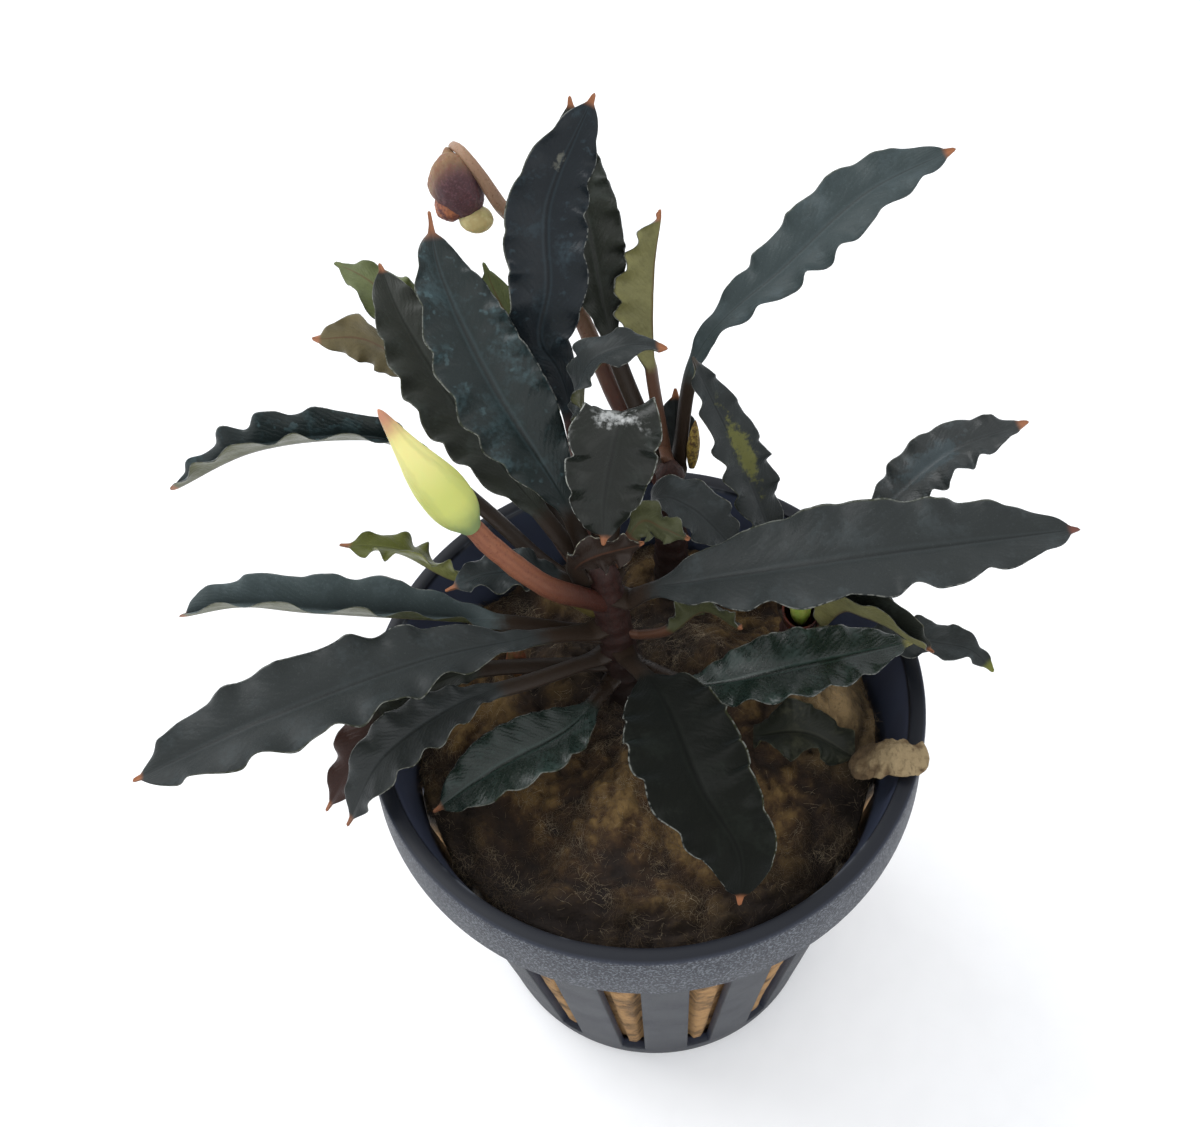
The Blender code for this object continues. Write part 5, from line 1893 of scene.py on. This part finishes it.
@dataclass
class Bud:
    """The closed bud: a spathe rolled round itself, drawn out into a bent beak."""

    path: tuple[Point, ...] = (
        (-12.9, 4.95, 70.9), (-14.4, 5.5, 74.4), (-16.3, 6.4, 78.4), (-18.5, 8.2, 82.6))
    outline: tuple[tuple[float, float], ...] = (
        (0.0, 0.85), (0.05, 1.15), (0.13, 1.65), (0.25, 1.97), (0.4, 1.92), (0.55, 1.58),
        (0.68, 1.15), (0.8, 0.78), (0.9, 0.5), (0.97, 0.28), (1.0, 0.08))
    lap_height: float = 0.13
    lap_sharpness: int = 6
    lap_start: float = 0.62
    lap_twist: float = 0.18
    roughness: float = 0.02
    rows: int = 90
    sides: int = 48
    finish: SpatheFinish = SpatheFinish()

    def radius(self, s: float, turn: float) -> float:
        """Return the bud's radius, with a step where the spathe overlaps itself.

        Args:
            s: The share of the length.
            turn: The share of a turn.

        Returns:
            The radius.
        """
        plain = smooth_through(self.outline, s)
        seam = (turn + self.lap_twist * s + self.lap_start) % 1.0
        lap = self.lap_height * seam ** self.lap_sharpness * math.sin(math.pi * min(s * 1.05, 1.0))
        return plain * (1.0 + self.roughness * noise.noise(Vector((turn * 4, s * 6, 0.0)))) + lap

    def build(self) -> None:
        """Make the bud in place of its solid."""
        rings, marks = tube_rings(Route(self.path), self.radius, self.rows, self.sides)
        thing = placed("bud_spathe", ring_mesh("bud", rings, marks))
        dress(thing, self.finish.build("bud_spathe"), "spathe_green", "bud")


@dataclass
class SpentFlower:
    """The nodding spent flower: a hooded spathe, a dark fruit and a pale lobe."""

    hood_centre: Point = (-12.2, 34.4, 79.8)
    hood_radius: float = 2.1
    hood_length: float = 3.9
    hood_wall: float = 0.3
    crown: Point = (-0.18, -0.14, 0.97)
    cut: float = -0.70
    beak: Point = (-0.155, 0.738, 0.657)
    beak_height: float = 0.7
    beak_reach: float = 0.2
    curl: Point = (-0.98, 0.05, -0.1)
    curl_height: float = 0.45
    curl_reach: float = 0.35
    ragged: float = 0.10
    dent_height: float = 0.15
    crease_height: float = 0.06
    shade: Point = (0.25, -0.80, -0.35)
    shade_from: float = 0.75
    fruit_centre: Point = (-13.1, 33.9, 78.2)
    fruit_radius: float = 1.35
    lobe_centre: Point = (-11.0, 33.25, 76.95)
    lobe_radii: Point = (1.5, 1.25, 1.15)
    hood_finish: MottledFinish = MottledFinish(
        (0.255, 0.165, 0.085), (0.190, 0.090, 0.055), 0.6, 1.3, glow=0.2)
    purple: Colour = (0.075, 0.035, 0.040)
    fruit_finish: MottledFinish = MottledFinish((0.400, 0.150, 0.070), (0.100, 0.036, 0.036), 0.5, 1.1)
    lobe_finish: MottledFinish = MottledFinish(
        (0.580, 0.510, 0.250), (0.460, 0.370, 0.160), 0.5, 1.5, glow=0.2)

    def ball(self, name: str, centre: Point, radii: Point, bump: float, pitch: float) -> bpy.types.Mesh:
        """Return a lumpy egg.

        Args:
            name: The mesh's name.
            centre: Its centre.
            radii: Its three radii.
            bump: The height of its lumps.
            pitch: Their size.

        Returns:
            The mesh, in metres.
        """
        bm = bmesh.new()
        bmesh.ops.create_icosphere(bm, subdivisions=5, radius=1.0)
        for vert in bm.verts:
            out = vert.co.copy()
            lump = bump * (noise.noise(out / pitch) + 0.4 * noise.noise(out / pitch * 2.7))
            spot = Vector((out.x * radii[0], out.y * radii[1], out.z * radii[2])) * (1.0 + lump)
            vert.co = (Vector(centre) + spot) * MM
        return mesh_from(bm, name, smooth=True)

    def hood_mesh(self) -> bpy.types.Mesh:
        """Return the hood, a bowl with a ragged rim and a beak, marked with how faded it is."""
        crown, shade = Vector(self.crown).normalized(), Vector(self.shade)
        bm = bmesh.new()
        bmesh.ops.create_icosphere(bm, subdivisions=6, radius=1.0)
        ragged = [vert for vert in bm.verts
                  if vert.co.dot(crown) < self.cut + self.ragged * noise.noise(vert.co * 3.0)]
        bmesh.ops.delete(bm, geom=ragged, context="VERTS")
        layer = bm.verts.layers.float.new("faded")
        for vert in bm.verts:
            out = vert.co.copy()
            spot = out * self.hood_radius + crown * out.dot(crown) * (self.hood_length - self.hood_radius)
            bump = self.dent_height * noise.noise(out * 1.8) + self.crease_height * noise.noise(out * 6.0)
            bump += self.beak_height * math.exp(-((out - Vector(self.beak)).length / self.beak_reach) ** 2)
            bump += self.curl_height * math.exp(-((out - Vector(self.curl)).length / self.curl_reach) ** 2)
            vert[layer] = (out - shade).length / self.shade_from - 1.0
            vert.co = (Vector(self.hood_centre) + spot + out * bump) * MM
        return mesh_from(bm, "faded_hood")

    def hood(self) -> None:
        """Make the hood with its thin wall in place of its solid."""
        thing = placed("faded_hood", self.hood_mesh())
        wall = thing.modifiers.new("wall", "SOLIDIFY")
        wall.thickness = self.hood_wall * MM
        thing = frozen(thing, "faded_hood")
        thing.data.shade_smooth()
        finish = self.hood_finish.build("faded_hood", "faded", self.purple)
        dress(thing, finish, "spathe_faded", "spent_flower_hood")

    def build(self) -> None:
        """Make the three pieces of the flower in place of their solids."""
        self.hood()
        fruit_size = (self.fruit_radius,) * 3
        fruit = placed("spent_fruit", self.ball("spent_fruit", self.fruit_centre, fruit_size, 0.08, 0.5))
        dress(fruit, self.fruit_finish.build("spent_fruit"), "fruit", "spent_flower_fruit")
        lobe = placed("pale_lobe", self.ball("pale_lobe", self.lobe_centre, self.lobe_radii, 0.06, 0.9))
        dress(lobe, self.lobe_finish.build("pale_lobe"), "pale_lobe", "spent_flower_lobe")


@dataclass(frozen=True)
class Spindle:
    """A small growth, pointed at both ends: its names, its ends, its greatest radius and its skin."""

    name: str
    node: str
    slot: str
    ends: tuple[Point, Point]
    radius: float
    finish: MottledFinish
    least_radius: float = 0.02
    roughness: float = 0.05
    rows: int = 40
    sides: int = 24

    def width(self, s: float, turn: float) -> float:
        """Return the radius at a share of the length and a share of a turn."""
        body = math.sin(math.pi * min(0.12 + 0.88 * s, 1.0)) ** 0.8
        rough = self.roughness * noise.noise(Vector((turn * 4, s * 6, self.radius)))
        return max(self.radius * body * (1 + rough), self.least_radius)

    def build(self) -> None:
        """Make the growth in place of its solid."""
        rings, marks = tube_rings(Route(self.ends), self.width, self.rows, self.sides)
        thing = placed(self.name, ring_mesh(self.name, rings, marks))
        dress(thing, self.finish.build(self.name), self.slot, self.node)


GREEN_BUD = Spindle("green_bud", "young_bud", "growth_green", ((14.9, 5.8, 50.2), (14.5, 5.4, 56.2)), 0.95,
                    MottledFinish((0.330, 0.460, 0.060), (0.480, 0.560, 0.150), 0.45, 1.0, glow=0.2))
GOLDEN_BRACT = Spindle("golden_bract", "bract", "bract_gold", ((6.3, 19.0, 57.4), (6.9, 21.2, 61.6)), 0.6,
                       MottledFinish((0.300, 0.210, 0.045), (0.080, 0.045, 0.016), 0.4, 0.4))
RED_SHOOT = Spindle("red_shoot", "old_shoot", "shoot_red", ((-11.5, 5.2, 46.2), (-11.3, 6.2, 50.4)), 0.95,
                    MottledFinish((0.190, 0.060, 0.030), (0.090, 0.060, 0.020), 0.45, 1.0))


@dataclass
class SmallGrowths:
    """The young bud in its open sheath, the bract and the old shoot."""

    sheath_ends: tuple[Point, Point] = ((15.0, 6.9, 49.0), (14.8, 5.3, 53.2))
    sheath_radii: tuple[float, float] = (1.35, 1.8)
    sheath_wall: float = 0.2
    sheath_roughness: float = 0.12
    sheath_rows: int = 24
    sheath_sides: int = 36
    rows_left_solid: int = 2
    sheath_finish: MottledFinish = MottledFinish((0.100, 0.020, 0.012), (0.040, 0.012, 0.010), 0.35, 1.2)
    spindles: tuple[Spindle, ...] = (GREEN_BUD, GOLDEN_BRACT, RED_SHOOT)

    def sheath_radius(self, s: float, turn: float, wall: float = 0.0) -> float:
        """Return the sheath's radius, less a wall, at a share of the length and a share of a turn."""
        low, high = self.sheath_radii
        rough = self.sheath_roughness * noise.noise(Vector((turn * 5, s * 3, 2.0)))
        return low + (high - low) * s ** 0.8 - wall + rough

    def sheath(self) -> None:
        """Make the sheath round the young bud, open at its top."""
        route = Route(self.sheath_ends)
        outer, inner = (
            tube_rings(route, lambda s, turn: self.sheath_radius(s, turn, wall), self.sheath_rows,
                       self.sheath_sides)[0]
            for wall in (0.0, self.sheath_wall))
        rings = outer + inner[:self.rows_left_solid:-1]
        thing = placed("bud_sheath", ring_mesh("bud_sheath", rings))
        dress(thing, self.sheath_finish.build("bud_sheath"), "sheath", "young_bud_sheath")

    def build(self) -> None:
        """Make all the small growths."""
        self.sheath()
        for spindle in self.spindles:
            spindle.build()


@dataclass
class Litter:
    """What lies on the wool: a decayed piece of leaf, and the torn flap of wool over the rim."""

    wool: Wool
    form: BladeForm
    decayed: tuple[tuple[float, float], ...] = ((9.5, -3.6), (14.0, -4.2), (18.4, -6.2))
    decayed_lift: float = 2.1
    decayed_seed: float = 2.7
    decayed_finish: LeafFinish = LeafFinish(
        LeafHue.ROTTEN, gloss=0.5, tip=(0.05, 0.035, 0.02), margin=(0.09, 0.09, 0.06),
        stalk=(0.04, 0.03, 0.015))
    flap_path: tuple[Point, ...] = (
        (17.6, -7.2, 47.0), (19.8, -8.3, 49.4), (21.6, -9.2, 51.0), (23.6, -9.9, 51.3))
    flap_width: float = 4.2
    flap_thickness: float = 0.75
    flap_bump: float = 0.28
    flap_rows: int = 60
    flap_sides: int = 80
    flap_closing: float = 10.0
    tear_height: float = 0.26
    tear_scale: float = 2.6
    nick_height: float = 0.20
    nick_scale: float = 8.5
    wad_scale: float = 1.9
    flap_finish: WoolFinish = WoolFinish(
        gold=(0.300, 0.225, 0.125), brown=(0.120, 0.078, 0.040), dark=(0.026, 0.016, 0.010),
        wet=0.8, shaded=False)
    never_pale_below: float = -10.0

    def decayed_leaf(self) -> None:
        """Make the crumpled piece of dead leaf in place of its solid."""
        path = tuple((x, y, self.wool.coarse(x, y) + self.decayed_lift) for x, y in self.decayed)
        leaf = Leaf("decayed_leaf", None, 0.0, path, stalk=0.0, width=5.2, fold=26, ripple=1.4, waves=2,
                    scallop=0.35, claw=0.5, finish=self.decayed_finish, slot="leaf_dead")
        register(self.form.grow(leaf, self.decayed_seed), leaf.slot, leaf.name)

    def flap(self) -> None:
        """Make the torn flap of wool in place of its solid."""
        route = Route(self.flap_path)
        rings, marks = [], []
        for k in range(self.flap_rows + 1):
            s = k / self.flap_rows
            _, side, up = route.frame(s)
            body = 0.55 + 0.45 * math.sin(math.pi * s ** 0.9) ** 0.5
            closing = min(1.0, self.flap_closing * s + 0.1, self.flap_closing * (1.0 - s) + 0.1)
            ring = []
            for i in range(self.flap_sides):
                angle = math.tau * i / self.flap_sides
                across, upwards = math.cos(angle), math.sin(angle)
                tear = noise.noise(Vector((s * self.tear_scale, math.copysign(3.0, across), 4.0)))
                nick = noise.noise(Vector((s * self.nick_scale, across * 1.5, 9.0)))
                torn = body + self.tear_height * tear + self.nick_height * nick
                flat = side * across * self.flap_width / 2 * torn
                thick = up * upwards * self.flap_thickness / 2
                spot = route.at(s) + (flat + thick) * closing ** 0.5
                bump = self.wool.fine(spot * self.wad_scale)
                out = (side * across * 0.6 + up * upwards).normalized()
                ring.append(spot + out * self.flap_bump * bump * closing)
                marks.append(bounded((0.6 + 0.6 * bump) * (0.05 + 1.7 * s)))
            rings.append(ring)
        thing = placed("torn_flap", ring_mesh("torn_flap", rings, {"lump": marks}))
        finish = self.flap_finish.build("torn_flap", self.never_pale_below)
        dress(thing, finish, "torn_wool", "wool_flap")

    def build(self) -> None:
        """Make the decayed leaf and the flap."""
        self.decayed_leaf()
        self.flap()


@dataclass(frozen=True)
class SoftLight:
    """A square light: its place, what it points at, the length of its sides, its watts and colour."""

    name: str
    place: Point
    target: Point
    size: float
    power: float
    colour: Colour = (1.0, 1.0, 1.0)

    def build(self) -> None:
        """Put the light in the scene."""
        data = bpy.data.lights.new(self.name, "AREA")
        data.size = self.size * MM
        data.energy = self.power
        data.color = self.colour
        thing = bpy.data.objects.new(self.name, data)
        bpy.context.scene.collection.objects.link(thing)
        aim = (Vector(self.target) - Vector(self.place)).to_track_quat("-Z", "Y").to_matrix().to_4x4()
        thing.matrix_world = Matrix.Translation(Vector(self.place) * MM) @ aim


WINDOW = SoftLight("window", (-350.0, 250.0, 520.0), (0.0, 5.0, 50.0), 420.0, 2.3, (0.97, 0.985, 1.0))
FILL = SoftLight("front", (200.0, -420.0, 420.0), (0.0, 5.0, 50.0), 500.0, 0.6)


@dataclass
class Studio:
    """The camera, the pale floor and the soft light."""

    camera_place: Point = (-2.9, -67.4, 173.3)
    pitch_deg: float = 56.5
    roll_deg: float = -5.0
    view_deg: float = 42.0
    floor_size: float = 3000.0
    floor_colour: Colour = (0.950, 0.950, 0.955)
    floor_glow: float = 0.08
    bead_size: float = 2.6
    bead_depth: float = 0.12
    sky_colour: Colour = (0.95, 0.97, 1.0)
    nearest: float = 0.01
    lights: tuple[SoftLight, ...] = (WINDOW, FILL)

    def camera(self) -> None:
        """Make the camera at the photograph's angle, level with its roll."""
        data = bpy.data.cameras.new("view")
        data.sensor_fit = "HORIZONTAL"
        data.angle = math.radians(self.view_deg)
        data.clip_start = self.nearest
        thing = bpy.data.objects.new("view", data)
        bpy.context.scene.collection.objects.link(thing)
        pitch, roll = math.radians(self.pitch_deg), math.radians(self.roll_deg)
        look = Vector((0.0, math.cos(pitch), -math.sin(pitch)))
        level = Vector((1.0, 0.0, 0.0))
        above = level.cross(look)
        right = level * math.cos(roll) + above * math.sin(roll)
        top = above * math.cos(roll) - level * math.sin(roll)
        turn = Matrix((right, top, -look)).transposed().to_4x4()
        thing.matrix_world = Matrix.Translation(Vector(self.camera_place) * MM) @ turn
        bpy.context.scene.camera = thing

    def floor(self) -> None:
        """Make the floor, a pale board with a faint pattern of beads."""
        bm = bmesh.new()
        bmesh.ops.create_grid(bm, x_segments=1, y_segments=1, size=self.floor_size * MM / 2)
        thing = placed("floor", mesh_from(bm, "floor"))
        coat = Coat("floor", 0.6, specular=0.3)
        bead = coat.cells(self.bead_size)
        coat.paint(coat.mix(self.floor_colour, toned(self.floor_colour, 0.985), bead.rise(0.45, 0.8)))
        coat.relief(bead.rise(0.8, 0.2), self.bead_depth, 0.12)
        coat.shader.inputs["Emission Color"].default_value = (1.0, 1.0, 1.0, 1.0)
        coat.shader.inputs["Emission Strength"].default_value = self.floor_glow
        thing.data.materials.append(coat.material)

    def world(self) -> None:
        """Make the even, pale surroundings."""
        world = bpy.data.worlds.new("pale")
        world.use_nodes = True
        sky = world.node_tree.nodes["Background"]
        sky.inputs["Color"].default_value = (*self.sky_colour, 1.0)
        sky.inputs["Strength"].default_value = 1.0
        bpy.context.scene.world = world

    def build(self) -> None:
        """Set up everything that isn't the plant."""
        self.world()
        self.floor()
        for light in self.lights:
            light.build()
        bpy.context.scene.view_settings.view_transform = "Standard"


def main() -> None:
    """Build the camera, the plant and its surroundings in order."""
    logging.basicConfig(level=logging.INFO, format="%(name)s: %(message)s")
    studio = Studio()
    studio.camera()
    pot = Pot()
    wool = Wool(pot)
    form = BladeForm()
    for sub_assembly in (pot, wool, Rhizome(), Foliage(form), BUD_STALK, SPENT_STALK, Bud(), SpentFlower(),
                         SmallGrowths(), Litter(wool, form), studio):
        sub_assembly.build()


if __name__ == "__main__":
    main()
